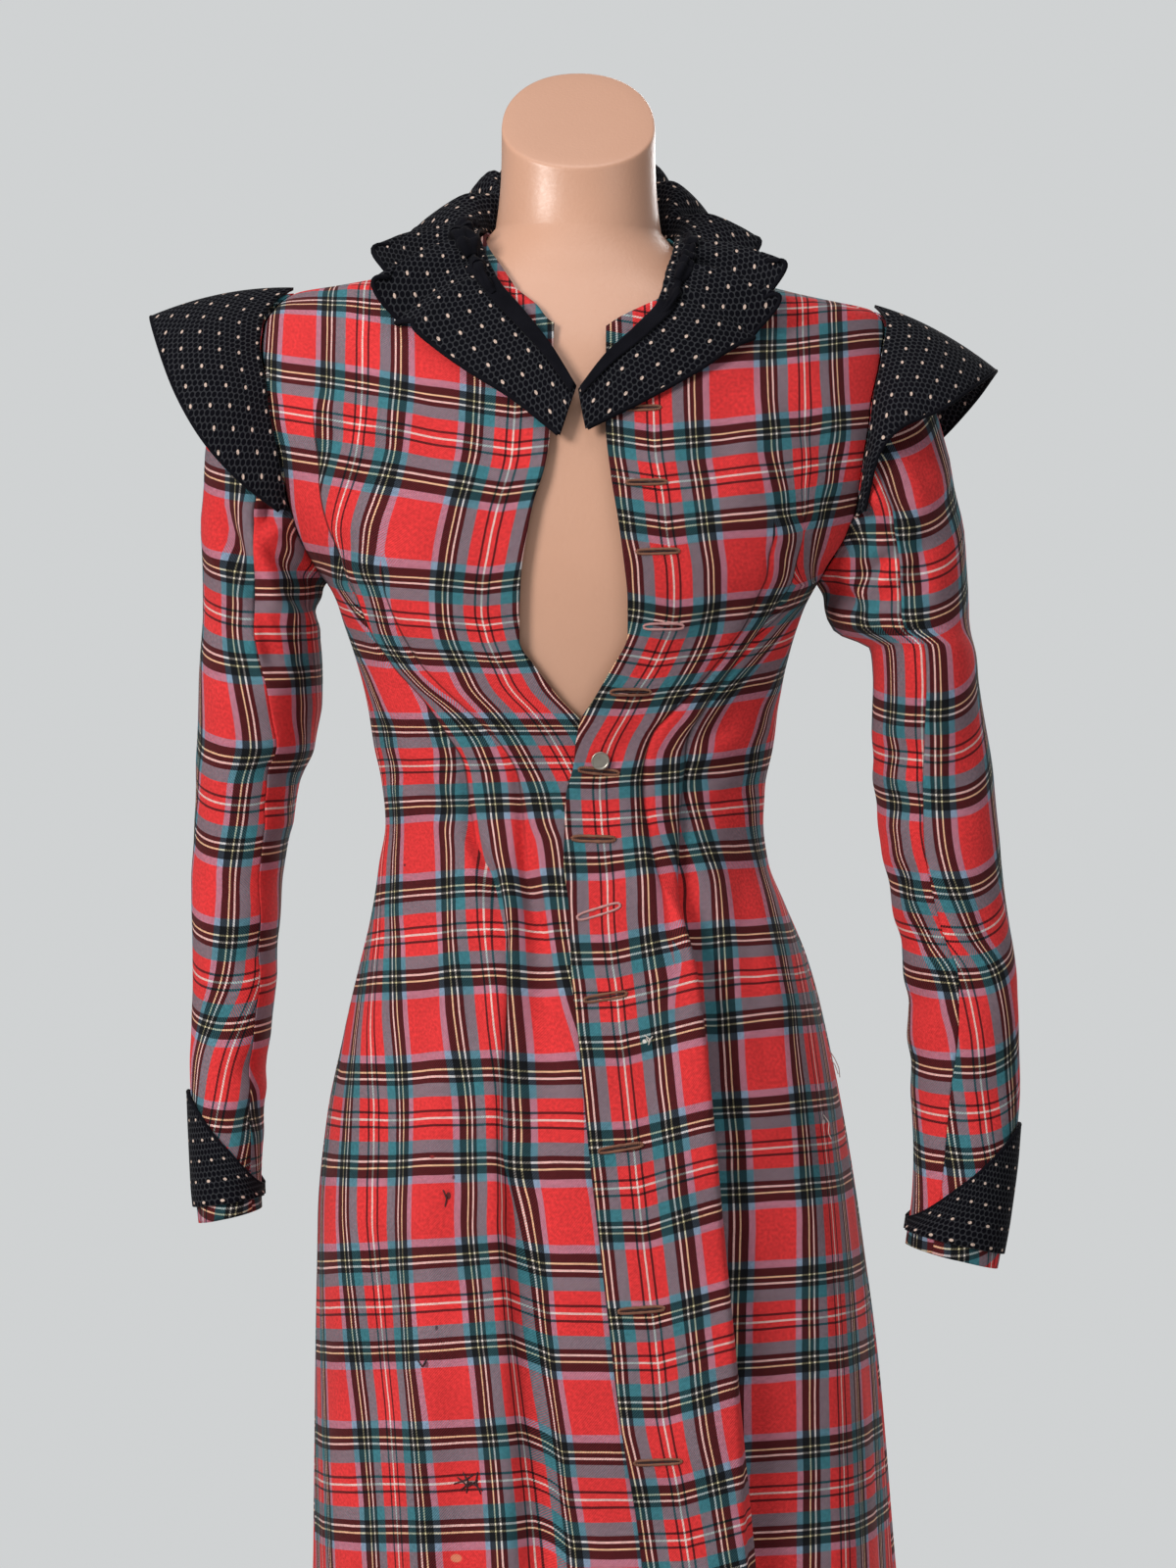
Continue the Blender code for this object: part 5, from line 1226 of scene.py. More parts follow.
def velvet_material(name, ovals=None):
    """Plain velvet, or with ovals cut velvet: dark pile on a grey ground, with pale dots."""
    material, net, shader = new_material(name, VELVET_SEEN)
    if ovals is None:
        place = net.object_place()
        height = net.noise(place, *PLAIN_GRAIN)
        colour = net.blend(net.noise(place, *PLAIN_CLOUDS), *PLAIN_TONES)
        relief(net, shader, height, *PLAIN_RELIEF)
    else:
        cloth = net.cloth_place()
        grain = net.noise(cloth, *VELVET_GRAIN)
        cells = net.group(ovals, dict(VELVET_CELLS, Cloth=cloth))["Mask"]
        moved = net.first("ShaderNodeMapping", {"Vector": cloth, "Location": DOTS_MOVED})
        dots = net.group(ovals, dict(VELVET_DOTS, Cloth=moved))["Mask"]
        pile = net.blend(grain, *PILE_TONES)
        ground = net.blend(grain, *GROUND_TONES)
        colour = net.blend(dots, net.blend(cells, ground, pile), DOT_COLOUR)
        relief(net, shader, cells + grain * VELVET_GRAIN_HEIGHT, *VELVET_RELIEF)
    net.fill(shader, dict(VELVET_SURFACE, **{"Base Color": colour}))
    return material


def simple_material(name, dark, light, rough, metal, scale, depth, coat=0.0, fine=FINE_GRAIN):
    """Painted, metal or thread finish: two near tones mixed by noise, with a fine relief."""
    material, net, shader = new_material(name, light)
    place = net.object_place()
    tone = net.noise(place, scale, *TONE_NOISE)
    grain = net.noise(place, fine, *GRAIN_NOISE)
    spread = net.range(grain, *GRAIN_SPAN, rough - SMOOTHER, rough + ROUGHER)
    net.fill(shader, {"Base Color": net.blend(tone, dark + (1.0,), light + (1.0,)),
                      "Roughness": spread, "Metallic": metal})
    if coat:
        net.fill(shader, {"Coat Weight": coat, "Coat Roughness": COAT_ROUGHNESS})
    relief(net, shader, grain, FINISH_RELIEF, depth)
    return material


# Columns: x, z, wide, tall, tint, strength.
RIGHT_FRONT_MARKS = (
    (-78, 813, 1.6, 2.4, (0.05, 0.02, 0.02), 0.9),
    (-75, 824, 1.0, 1.4, (0.05, 0.02, 0.02), 0.8),
    (-88, 836, 1.4, 1.2, (0.30, 0.03, 0.03), 0.8),
    (-85, 734, 1.0, 1.6, (0.04, 0.02, 0.03), 0.8),
    (-91, 712, 1.4, 2.2, (0.04, 0.02, 0.03), 0.7),
    (-63, 642, 4.4, 1.8, (0.03, 0.02, 0.03), 0.6),
    (-73, 597, 3.6, 2.6, (0.72, 0.30, 0.17), 0.7),
    (-12, 1044, 2.4, 1.6, (0.10, 0.22, 0.32), 0.8),
    (-107, 1011, 0.8, 0.8, (0.04, 0.02, 0.03), 0.8),
)
LEFT_FRONT_MARKS = (
    (40, 906, 1.3, 1.3, (0.80, 0.74, 0.70), 0.9),
    (159, 889, 1.4, 0.9, (0.70, 0.60, 0.58), 0.7),
    (151, 853, 1.0, 1.6, (0.70, 0.60, 0.58), 0.7),
)

THREADS = thread_group()
TARTAN = tartan_group(THREADS)
OVALS = dot_group()
wool_right_front = tartan_material("tartan_right_front", TARTAN, True, RIGHT_FRONT_MARKS)
wool_left_front = tartan_material("tartan_left_front", TARTAN, True, LEFT_FRONT_MARKS)
wool = tartan_material("tartan_wool_cloth", TARTAN)
velvet = velvet_material("cut_velvet_cloth", OVALS)
plain_velvet = velvet_material("plain_velvet_cloth")
# Columns: name, dark tone, light tone, roughness, metal, scale of the tones, depth of the
# relief, gloss coat and scale of the relief.
FINISHES = (
    ("form_paint_finish", (0.60, 0.315, 0.205), (0.72, 0.415, 0.290), 0.40, 0.0, 5.0, 0.0004,
     0.25, 420.0),
    ("button_metal_finish", (0.30, 0.27, 0.23), (0.52, 0.48, 0.42), 0.36, 0.9, 160.0, 0.0002),
    ("pole_steel_finish", (0.42, 0.42, 0.43), (0.56, 0.56, 0.57), 0.30, 1.0, 8.0, 0.0002),
    ("base_enamel_finish", (0.045, 0.045, 0.048), (0.07, 0.07, 0.075), 0.42, 0.0, 12.0, 0.0002),
    ("buttonhole_thread", (0.13, 0.045, 0.025), (0.30, 0.13, 0.075), 0.75, 0.0, 240.0, 0.0003),
    ("buttonhole_thread_pink", (0.42, 0.17, 0.17), (0.66, 0.38, 0.36), 0.75, 0.0, 240.0,
     0.0003),
    # Dark thread for the mends, also used along the buttonhole slits as painted shade.
    ("dark_thread_and_slit_shade", (0.016, 0.008, 0.010), (0.04, 0.016, 0.018), 0.8, 0.0, 240.0, 0.0003),
    ("pale_thread", (0.62, 0.50, 0.44), (0.80, 0.72, 0.66), 0.8, 0.0, 240.0, 0.0003),
)
(form_paint, button_metal, pole_steel, base_enamel, thread_brown, thread_pink, thread_dark_and_slit_shade,
 thread_pale) = [simple_material(*row) for row in FINISHES]

# How sharply cloth steps back beyond a dart or pleat, how far that reaches, and how far from
# the front edge the darts and creases set in.
STEP_SHARP = 1.8
STEP_REACH = 15.0
EDGE_CLEAR_ANGLE = 2.0
EDGE_EASE_ANGLE = 8.0
# Heights over which a dart's dark line ends at its top, and at the waist below the sewing, where it
# runs on as painted shade in the fold's crease before it fades out.
SEWN_TOP_Z = 12.0
CREASE_SHADE_BELOW_SEWN_Z = 90.0
CREASE_SHADE_EASE_Z = 100.0


def line_hollow(side, distances, z):
    """How far the cloth lies in along the darts, pleats and folds of a front."""
    total = np.zeros_like(z)
    for table, away in zip(LINE_FORMS[side], distances):
        inside = (z >= table[0][0]) & (z <= table[-1][0])
        groove, width, step = row_at(table, z)
        form = groove * np.exp(-(away / width) ** 2)
        form = form + step * np.tanh(away / STEP_SHARP) * np.exp(-(away / STEP_REACH) ** 2)
        total = total + np.where(inside, form, 0.0)
    return total


def front_shape(side, angle, z):
    """Outer face of a front with its folds and darts, its outward way and its cloth map."""
    lift = overlap_lift(angle, z) if side > 0 else np.zeros_like(z)
    normal = coat_normal(angle, z)
    points = smooth_point(angle, z) + normal * lift[..., None]
    cloth = front_cloth(side, angle, z)
    hollow = crease_depth(points, FRONT_CREASES) + line_hollow(side, cloth[2], z)
    lap = ease((np.abs(angle - edge_angle(side, z)) - EDGE_CLEAR_ANGLE) / EDGE_EASE_ANGLE)
    return points - normal * (hollow * lap)[..., None], normal, cloth


def make_front(side, material):
    angle, z = trimmed(front_map(side), False)
    points, normal, (across, along, distances, steps) = front_shape(side, angle, z)
    # Strength of the dark dart line: full along the seam, running on below the sewing as painted
    # crease shade.
    seam_and_crease_shades = [ease((top - z) / SEWN_TOP_Z) * ease((z - sewn + CREASE_SHADE_BELOW_SEWN_Z) / CREASE_SHADE_EASE_Z)
             for top, sewn in zip(DART_TOP_Z[side], DART_SEWN_Z[side])]
    vectors = [(word, stack(pair_of[0] * MM, pair_of[1] * MM, seam))
               for word, pair_of, seam in zip(("darts", "taken"), (distances, steps), seam_and_crease_shades)]
    name = "front_" + SIDES[side]
    return cloth_piece("coat_" + name, points, normal, across, along, material,
                       [name], TARTAN_WALL, vectors)


def make_back(side, material):
    angle, z = trimmed(back_map(side), True)
    normal = coat_normal(angle, z)
    points = smooth_point(angle, z)
    points = points - normal * crease_depth(points, BACK_CREASES)[..., None]
    across, along = back_cloth(side, angle, z)
    name = "back_" + SIDES[side]
    return cloth_piece("coat_" + name, points, normal, across, along, material,
                       [name], TARTAN_WALL)


ARMHOLE_PLACES = 61


def armhole_lines(side):
    """Armhole edge from the shoulder tip down the front, and up the back to the tip."""
    low = np.linspace(TIP_Z, UNDERARM_Z, ARMHOLE_PLACES)
    high = np.linspace(UNDERARM_Z, TIP_Z, ARMHOLE_PLACES)
    front = smooth_point(side * read(ARMHOLE, low, 1), low)
    back = smooth_point(side * (180.0 - read(ARMHOLE, high, 1)), high)
    return front, back


def along(line, share):
    """Points at shares of a polyline's length."""
    reach = run_along(line, 0)
    return stack(*[np.interp(share * reach[-1], reach, line[:, k]) for k in range(3)])


ARMHOLES = {-1: armhole_lines(-1), 1: armhole_lines(1)}


def armhole_point(side, turn):
    """Armhole point: turn 0 at the shoulder tip, 90 in front, 180 under the arm."""
    front, back = ARMHOLES[side]
    turn = np.mod(turn, 360.0)
    first = along(front, np.minimum(turn, 180.0) / 180.0)
    second = along(back, np.clip(turn - 180.0, 0.0, 180.0) / 180.0)
    return np.where((turn <= 180.0)[..., None], first, second)


def falling(table):
    return tuple((-row[0],) + row[1:] for row in table)


def all_round(front):
    """Rows for a whole armhole from those of its front half, which the back mirrors."""
    return front + tuple((360 - turn, out, -forward, rise, straight)
                         for turn, out, forward, rise, straight in front[-2::-1])


SLEEVES = {-1: falling(SLEEVE_RIGHT_ARM), 1: falling(SLEEVE_LEFT_ARM)}
HEADS = {-1: all_round(HEAD_RIGHT_ARM), 1: all_round(HEAD_LEFT_ARM)}
SLEEVE_TOP = {-1: SLEEVE_RIGHT_ARM[0][0], 1: SLEEVE_LEFT_ARM[0][0]}
SLEEVE_END = {-1: SLEEVE_RIGHT_ARM[-1][0], 1: SLEEVE_LEFT_ARM[-1][0]}


def sleeve_ring(side, turn, z):
    x, half, y, depth, slant = row_at(SLEEVES[side], -z)
    spin = np.radians(turn)
    across = signed_power(np.cos(spin), SLEEVE_POWER)
    forward = signed_power(np.sin(spin), SLEEVE_POWER)
    return stack(side * (x + half * across), y - depth * forward, z - slant * np.cos(spin))


def sleeve_point(side, turn, place):
    """Outer face of a sleeve. Place 0 to 1 is the head, and past 1 it runs to the hem at 2."""
    turn, place = np.broadcast_arrays(np.asarray(turn, float), np.asarray(place, float))
    top = SLEEVE_TOP[side]
    low = sleeve_ring(side, turn, mix(top, SLEEVE_END[side], np.maximum(place - 1.0, 0.0)))
    lift = ARMHOLE_RISE * np.maximum(np.cos(np.radians(turn)), 0.0)
    start = armhole_point(side, turn) + stack(side * ARMHOLE_GAP[side], 0.0, lift)
    end = sleeve_ring(side, turn, np.full_like(place, top))
    out, forward, rise, straight = row_at(HEADS[side], np.mod(turn, 360.0))
    first = start + stack(side * out, forward, rise)
    second = end + stack(0.0, 0.0, straight)
    t = np.clip(place, 0.0, 1.0)[..., None]
    s = 1.0 - t
    head = s ** 3 * start + 3 * s * s * t * first + 3 * s * t * t * second + t ** 3 * end
    return np.where((place >= 1.0)[..., None], low, head)


SLEEVE_STEP_TURN = 2.0
SLEEVE_STEP_PLACE = 0.02


def sleeve_normal(side, turn, place):
    step = SLEEVE_STEP_TURN
    low = np.maximum(0.0, place - SLEEVE_STEP_PLACE)
    high = np.minimum(2.0, place + SLEEVE_STEP_PLACE)
    round_step = sleeve_point(side, turn + step, place) - sleeve_point(side, turn - step, place)
    down_step = sleeve_point(side, turn, high) - sleeve_point(side, turn, low)
    return unit(np.cross(round_step, down_step)) * side


# Sleeve cloth: how far the front seam lies outwards of a white pivot stripe, at each
# height, and the heights of the white stripes round the sleeve at its front.
# Columns: z, top from pivot, under from pivot.
SLEEVE_PLAID = {
    -1: ((780, -44, -4), (866, -20, -22), (898, -13, -36.5), (944, 0, -38), (999, 5, -41.5),
         (1110, 10, -46), (1300, 15, -46)),
    1: ((770, -42, -60), (861, -22, -40), (925, -7, -22), (981, 6.8, -8), (1036, 13, -2),
        (1147, 16.6, 2), (1300, 20, 2)),
}
# Columns: z, top turns, under turns.
SLEEVE_WEFT = {
    -1: ((700, -4.15, -4.12), (825, -3, -3.0), (938, -2, -1.97), (1048.5, -1, -0.97),
         (1162, 0, 0.08), (1275, 1, 1.08), (1400, 2, 2.1)),
    1: ((650, -3.9, -3.88), (748, -3, -2.98), (858, -2, -1.98), (968.5, -1, -0.98),
        (1078, 0, 0.03), (1190, 1, 1.03), (1300, 2, 2.03), (1400, 3, 3.0)),
}
SLEEVE_WEFT_LEAN = {-1: 0.33, 1: 0.60}
SLEEVE_WEFT_UNDER = 0.25
SLEEVE_WEFT_MOST = 46.0
SLEEVE_ROWS_HEAD = 26
SLEEVE_ROWS_ARM = 110
SLEEVE_CREASES = {
    -1: ((-182, 1236, -201, 1216, 5, 5.5), (-220, 1222, -202, 1190, 6, 6.0),
         (-201, 1190, -196, 1172, 5, 4.4), (-202, 1244, -188, 1226, 5, 4.0),
         (-196, 1208, -166, 1184, 5, 5.0), (-190, 1190, -162, 1168, 5, 4.0),
         (-222, 1250, -206, 1176, 8, 3.0), (-200, 1136, -178, 1140, 8, 3.0),
         (-198, 1176, -186, 1130, 5, 3.6), (-188, 1170, -180, 1148, 4, 3.0),
         (-204, 1064, -174, 1072, 10, 3.4), (-200, 1046, -180, 1052, 7, 2.6),
         (-196, 1110, -170, 1090, 9, 2.2), (-236, 1060, -216, 1040, 10, 1.3),
         (-224, 992, -198, 1000, 9, 1.6), (-214, 950, -194, 960, 9, 1.8),
         (-232, 905, -204, 918, 9, 1.2), (-210, 880, -196, 890, 8, 1.4),
         (-214, 846, -200, 860, 7, 1.2), (-176, 1132, -172, 1090, 8, 1.8)),
    1: ((172, 1232, 190, 1218, 5, 5.5), (190, 1218, 208, 1208, 5, 4.4),
        (160, 1184, 173, 1168, 5, 5.0), (190, 1250, 205, 1230, 6, 4.0),
        (200, 1206, 176, 1188, 5, 4.4), (206, 1190, 184, 1172, 5, 4.0),
        (222, 1236, 206, 1180, 7, 3.4), (212, 1178, 190, 1164, 5, 3.2),
        (234, 1250, 226, 1200, 6, 2.4),
        (214, 1082, 190, 1078, 8, 2.0), (212, 1046, 192, 1050, 8, 2.0),
        (214, 1006, 196, 1000, 8, 2.0), (216, 968, 200, 962, 8, 2.2),
        (220, 932, 204, 922, 8, 2.2), (222, 892, 206, 884, 8, 1.8),
        (250, 1120, 240, 1060, 11, 1.4), (258, 1010, 250, 950, 11, 1.4),
        (262, 900, 252, 850, 10, 1.2)),
}


def sleeve_panel(name, side, columns, top):
    places = np.concatenate([np.linspace(0.0, 1.0, SLEEVE_ROWS_HEAD + 1),
                             np.linspace(1.0, 2.0, SLEEVE_ROWS_ARM + 1)[1:]])[:, None]
    ring_z = mix(SLEEVE_TOP[side], SLEEVE_END[side], np.maximum(places - 1.0, 0.0))
    seam = read(SLEEVE_SEAM[side], ring_z, 1)
    first, last = (BACK_SEAM_TURN - 360.0, seam) if top else (seam, BACK_SEAM_TURN)
    turns = mix(first, last, np.linspace(0.0, 1.0, columns + 1)[None, :])
    step = sleeve_point(side, turns + 0.5, places) - sleeve_point(side, turns - 0.5, places)
    gap = SEAM_HALF / np.maximum(np.linalg.norm(step, axis=-1), 0.1)
    turns[:, 0] += gap[:, 0]
    turns[:, -1] -= gap[:, -1]
    places = np.broadcast_to(places, turns.shape)
    points = sleeve_point(side, turns, places)
    normal = sleeve_normal(side, turns, places)
    rings = sleeve_ring(side, turns, ring_z)
    arc = run_along(rings, 1)
    column = 1 if top else 2
    across = (arc[:, -1:] - arc if top else -arc) + read(SLEEVE_PLAID[side], ring_z, column)
    _, _, middle, deep, _ = row_at(SLEEVES[side], -ring_z)
    backward = np.maximum(rings[..., 1] - (middle - deep), 0.0)
    rise = SLEEVE_WEFT_LEAN[side] * (backward if top else SLEEVE_WEFT_UNDER * backward)
    fine_z = rings[..., 2] - np.minimum(rise, SLEEVE_WEFT_MOST)
    climb = run_along(points[::-1], 0)[::-1]
    climb = np.maximum(climb - climb[SLEEVE_ROWS_HEAD], 0.0)
    along_cloth = read(SLEEVE_WEFT[side], fine_z, column) * SETT_ALONG + climb
    points = points - normal * crease_depth(points, SLEEVE_CREASES[side])[..., None]
    return cloth_piece(name + "_cloth", points, normal, across, along_cloth, wool,
                       [name], TARTAN_WALL)


def arc_maps(points):
    """Cloth distances along the columns and the rows of a grid."""
    across = run_along(points, 1)
    return across - across[:, points.shape[1] // 2][:, None], run_along(points, 0)


def cuff_place(side, turn, share):
    """Turn and place of a cuff's point, share 0 at its lower edge and 1 at its upper one."""
    bottom = SLEEVE_END[side] + CUFF_ABOVE_HEM
    point_share = (0.5 + 0.5 * np.cos(np.radians(turn))) ** CUFF_POINT_POWER
    z = bottom + mix(CUFF_LOW, CUFF_TALL[side], point_share) * share
    return 1.0 + (SLEEVE_TOP[side] - z) / (SLEEVE_TOP[side] - SLEEVE_END[side])


def cuff_surface(side, turn, share, lift):
    place = cuff_place(side, turn, share)
    return sleeve_point(side, turn, place) + sleeve_normal(side, turn, place) * lift


def cuff_middle(side, u, v):
    """Middle of a cuff's wall."""
    turn = mix(-CUFF_REACH_TURN, CUFF_REACH_TURN, u)
    return cuff_surface(side, turn, v, CUFF_LIFT + 0.5 * VELVET_WALL)


def cuff(name, side):
    turns = np.linspace(-CUFF_REACH_TURN, CUFF_REACH_TURN, CUFF_PLACES)
    shares = np.linspace(0.0, 1.0, CUFF_ROWS)
    turns, shares = np.broadcast_arrays(turns[None, :], shares[:, None])
    normal = sleeve_normal(side, turns, cuff_place(side, turns, shares))
    points = cuff_surface(side, turns, shares, CUFF_LIFT + VELVET_WALL)
    across, along_cloth = arc_maps(points)
    return cloth_piece(name + "_cloth", points, normal, across, along_cloth, velvet,
                       [name], VELVET_WALL)


CAPS = {-1: CAP_RIGHT_ARM, 1: CAP_LEFT_ARM}


def cap_point(side, share, across):
    """Middle of a shoulder cap's wall."""
    x, y, z, swell = row_at(CAPS[side], share)
    angle = mix(CAP_REACH_TURN, -CAP_REACH_TURN, share)
    turn = np.radians(angle)
    off = stack(side * CAP_LEAN, -np.sin(turn), np.maximum(np.cos(turn), 0.0))
    inner = armhole_point(side, angle) + unit(off) * CAP_LIFT
    outer = stack(side * x, y, z)
    way = stack(0.0, -np.sin(turn), np.abs(np.cos(turn)))
    return curved(across, inner, inner + (outer - inner) * 0.5 + way * swell[..., None], outer)


SHEET_STEP_U = 0.01
SHEET_STEP_V = 0.03
EVEN_ROW_SHARE = 0.7


def sheet_normal(point_at, u, v):
    u0, u1 = np.maximum(0.0, u - SHEET_STEP_U), np.minimum(1.0, u + SHEET_STEP_U)
    v0, v1 = np.maximum(0.0, v - SHEET_STEP_V), np.minimum(1.0, v + SHEET_STEP_V)
    return unit(np.cross(point_at(u1, v) - point_at(u0, v), point_at(u, v1) - point_at(u, v0)))


def sheet(name, point_at, places, rows, thick, material):
    """Cloth shell round a middle surface, with that many places along and across it."""
    u, v = np.broadcast_arrays(np.linspace(0.0, 1.0, places)[None, :],
                               np.linspace(0.0, 1.0, rows)[:, None])
    points = point_at(u, v)
    across, along_cloth = arc_maps(points)
    across = np.broadcast_to(across[int(EVEN_ROW_SHARE * rows)][None], across.shape)
    return cloth_piece(name + "_cloth", points, sheet_normal(point_at, u, v), across,
                       along_cloth, material, [name], thick, offset=0.0)


def collar_sections(table):
    """Collar rows with every depth as a real place, numbered for reading between rows."""
    fixed = []
    for k, row in enumerate(table):
        values = [k]
        for column in (0, 3, 6):
            x, y, z = (float(value) for value in row[column:column + 3])
            if k < COLLAR_ON_COAT_ROWS:
                level = float(level_of(x, z))
                x, y, z = coat_point(angle_at(x, level), level, y)
            elif column == 0:
                x, y, z = coat_point(x, z, y)
            values += [x, y, z]
        fixed.append(tuple(values) + row[9:])
    return tuple(fixed)


COLLAR_MADE = {-1: collar_sections(COLLAR_RIGHT), 1: collar_sections(COLLAR_LEFT)}


def collar_half(side, u, v):
    table = COLLAR_MADE[side]
    station = 2.0 * (len(table) - 1) * (u if side < 0 else 1.0 - u)
    values = row_at(table, station)
    neck, roll, outer = [stack(*values[k:k + 3]) for k in (0, 3, 6)]
    ruffle, waves = values[9:]
    swing = 2.0 * np.pi * waves + RUFFLE_PHASE * side
    swing = swing + RUFFLE_DRIFT * np.sin(RUFFLE_DRIFT_PACE * swing + side)
    share = ruffle * (RUFFLE_SWING * np.sin(swing) + RUFFLE_BIAS) * v ** RUFFLE_POWER
    past = station - RUFFLE_TURNS_AT + RUFFLE_TURN_HALF
    turned_back = ease(past / (2.0 * RUFFLE_TURN_HALF))[..., None]
    way = mix(np.array(RUFFLE_FRONT), np.array(RUFFLE_BACK), turned_back)
    way = way * np.array((side, 1.0, 1.0))
    way[..., 0] += RUFFLE_LEAN * side * np.cos(swing) * v
    gather = GATHER_DEPTH * np.sin(GATHER_RATIO * swing) * (ruffle / GATHER_FULL)
    gather = gather * (1.0 - v) ** GATHER_TOP_POWER * v ** GATHER_LOW_POWER
    before, after = [stack(*[read(table, station + step, column) for column in (7, 8, 9)])
                     for step in (-STATION_STEP, STATION_STEP)]
    slide = ruffle * RUFFLE_SLIDE * np.sin(2.0 * swing) * v
    return (curved(v, neck, roll, outer) + way * (share + gather)[..., None]
            + unit(after - before) * slide[..., None])


def collar_point(u, v):
    """Middle of the collar's wall: u runs from the right end (0) to the left end (1)."""
    u, v = np.broadcast_arrays(np.asarray(u, float), np.asarray(v, float))
    return np.where((u < 0.5)[..., None], collar_half(-1, u, v), collar_half(1, u, v))


def binding_point(side, u, v):
    """Middle of the wall of a collar binding, which lies on the collar's face."""
    share = mix(BINDING_START, BINDING_END, u)
    across = mix(BINDING_FROM, BINDING_TO, v)
    place = share if side < 0 else 1.0 - share
    normal = sheet_normal(collar_point, place, across)
    facing = np.where(normal[..., 1] - 0.5 * normal[..., 2] > 0, -1.0, 1.0)[..., None]
    lift = 0.5 * VELVET_WALL + LAY_GAP + 0.5 * BINDING_WALL
    return collar_point(place, across) + normal * facing * lift


def form_point(angle, z):
    left, right, front, back, side_power, depth_power = row_at(BODY, z)
    limit, side_in, front_in, back_in = row_at(FORM, z)
    left = np.minimum(left - side_in, limit)
    right = np.minimum(right - side_in, limit)
    point = ring_point(angle, z, left, right, front - front_in, back - back_in, side_power,
                       depth_power)
    rise = bust_rise(angle, z, FORM_BUST_SHARE * BUST)
    return tilted(point + unit(point * np.array((1.0, 1.0, 0.0))) * rise[..., None])


def neck_point(angle, share):
    """Neck above the shoulders: share 0 at its root, 1 at the slanted cap."""
    root = form_point(angle, np.full_like(angle, NECK_Z))
    turn = np.radians(angle)
    x = NECK_HALF_WIDTH * signed_power(np.sin(turn), NECK_POWER)
    depth = signed_power(np.cos(turn), NECK_POWER)
    y = np.where(depth > 0, -NECK_FRONT, -NECK_BACK) * depth
    rise = (y + NECK_FRONT) / (NECK_FRONT + NECK_BACK)
    top = stack(x, y, mix(CAP_FRONT_Z, CAP_BACK_Z, rise))
    curve = 1.0 - (1.0 - np.minimum(1.0, share * NECK_ROOT_SPEED)) ** NECK_ROOT_POWER
    return mix(root, top, stack(curve, curve, share))


def closed_round(name, grids, material, nodes=()):
    """Closed smooth bodies, each from rings of points. First and last ring meet or close."""
    made = bmesh.new()
    for points in grids:
        rows, columns = points.shape[:2]
        grid = bmesh.ops.create_grid(made, x_segments=columns - 1, y_segments=rows - 1,
                                     size=1.0)
        for vert in grid["verts"]:
            column = int(round((vert.co.x + 1.0) * 0.5 * (columns - 1)))
            row = int(round((vert.co.y + 1.0) * 0.5 * (rows - 1)))
            vert.co = points[row, column] * MM
    bmesh.ops.remove_doubles(made, verts=made.verts[:], dist=WELD)
    bmesh.ops.recalc_face_normals(made, faces=made.faces[:])
    return piece(name, finished_mesh(name, made), material, nodes)


def dress_form():
    angle = np.linspace(-180.0, 180.0, FORM_SIDES + 1)
    edge = form_point(angle, np.full_like(angle, FORM_BOTTOM_Z))
    rings = [stack(edge[:, 0] * share, edge[:, 1] * share, FORM_BOTTOM_Z + rise)
             for share, rise in FORM_FOOT]
    for z in np.arange(FORM_BOTTOM_Z + FORM_FIRST_STEP, NECK_Z + 0.1, FORM_STEP):
        rings.append(form_point(angle, np.full_like(angle, min(z, NECK_Z))))
    for share in np.linspace(*NECK_RINGS):
        rings.append(neck_point(angle, share))
    cap = neck_point(angle, 1.0)
    middle = np.array((0.0, 0.5 * (NECK_BACK - NECK_FRONT), 0.5 * (CAP_FRONT_Z + CAP_BACK_Z)))
    inward = unit(middle - cap)
    for step, drop in NECK_CAP_EDGE:
        rings.append(cap + inward * step - np.array((0.0, 0.0, drop)))
    rings.append(cap + (middle - cap) * NECK_CAP_MIDDLE)
    rings.append(np.broadcast_to(middle, cap.shape))
    closed_round("form_body", [np.stack(rings)], form_paint, ["dress_form"])


def turned(name, profile, sides, place, axis, sidewise, material, node):
    """Turned body from (radius, height) rows about an axis."""
    third = np.cross(axis, sidewise)
    turn = np.linspace(0.0, 2.0 * np.pi, sides + 1)
    rings = []
    for radius, height in ((0.0, profile[0][1]),) + tuple(profile) + ((0.0, profile[-1][1]),):
        rings.append(place + np.outer(radius * np.cos(turn), sidewise)
                     + np.outer(radius * np.sin(turn), third) + np.asarray(axis) * height)
    closed_round(name, [np.stack(rings)], material, [node])


def eased_rows(rows, radius):
    """Outline with each inner corner rounded, without its two middle points."""
    made = []
    for before, here, after in zip(rows, rows[1:], rows[2:]):
        a, b, c = (np.array(p, float) for p in (before, here, after))
        back, on = a - b, c - b
        reach, step = np.linalg.norm(back), np.linalg.norm(on)
        size = min(radius, CORNER_SHARE * reach, CORNER_SHARE * step)
        first = b + back / reach * size
        last = b + on / step * size
        for k in range(CORNER_STEPS + 1):
            t = k / CORNER_STEPS
            made.append(tuple((1 - t) ** 2 * first + 2 * t * (1 - t) * b + t * t * last))
    return made


def stand():
    up, right = np.array((0.0, 0.0, 1.0)), np.array((1.0, 0.0, 0.0))
    pole = ((POLE_RADIUS, BASE_HEIGHT + SEAM_GAP), (POLE_RADIUS, FORM_BOTTOM_Z - SEAM_GAP))
    turned("stand_pole", pole, POLE_SIDES, np.zeros(3), up, right, pole_steel,
           "pole")
    turned("stand_base", eased_rows(BASE_OUTLINE, BASE_ROUNDING), BASE_SIDES, np.zeros(3), up,
           right, base_enamel, "base")


def metal_button():
    angle = float(angle_at(BUTTON_X, BUTTON_Z))
    lift = float(overlap_lift(np.array(angle), np.array(BUTTON_Z)))
    seat, normal = coat_point(angle, BUTTON_Z, lift), coat_normal(angle, BUTTON_Z)
    sidewise = unit(np.cross((0.0, 0.0, 1.0), normal))
    turned("coat_button", eased_rows(BUTTON_OUTLINE, BUTTON_ROUNDING), BUTTON_SIDES,
           seat + normal * LAY_GAP, normal, sidewise, button_metal, "button")


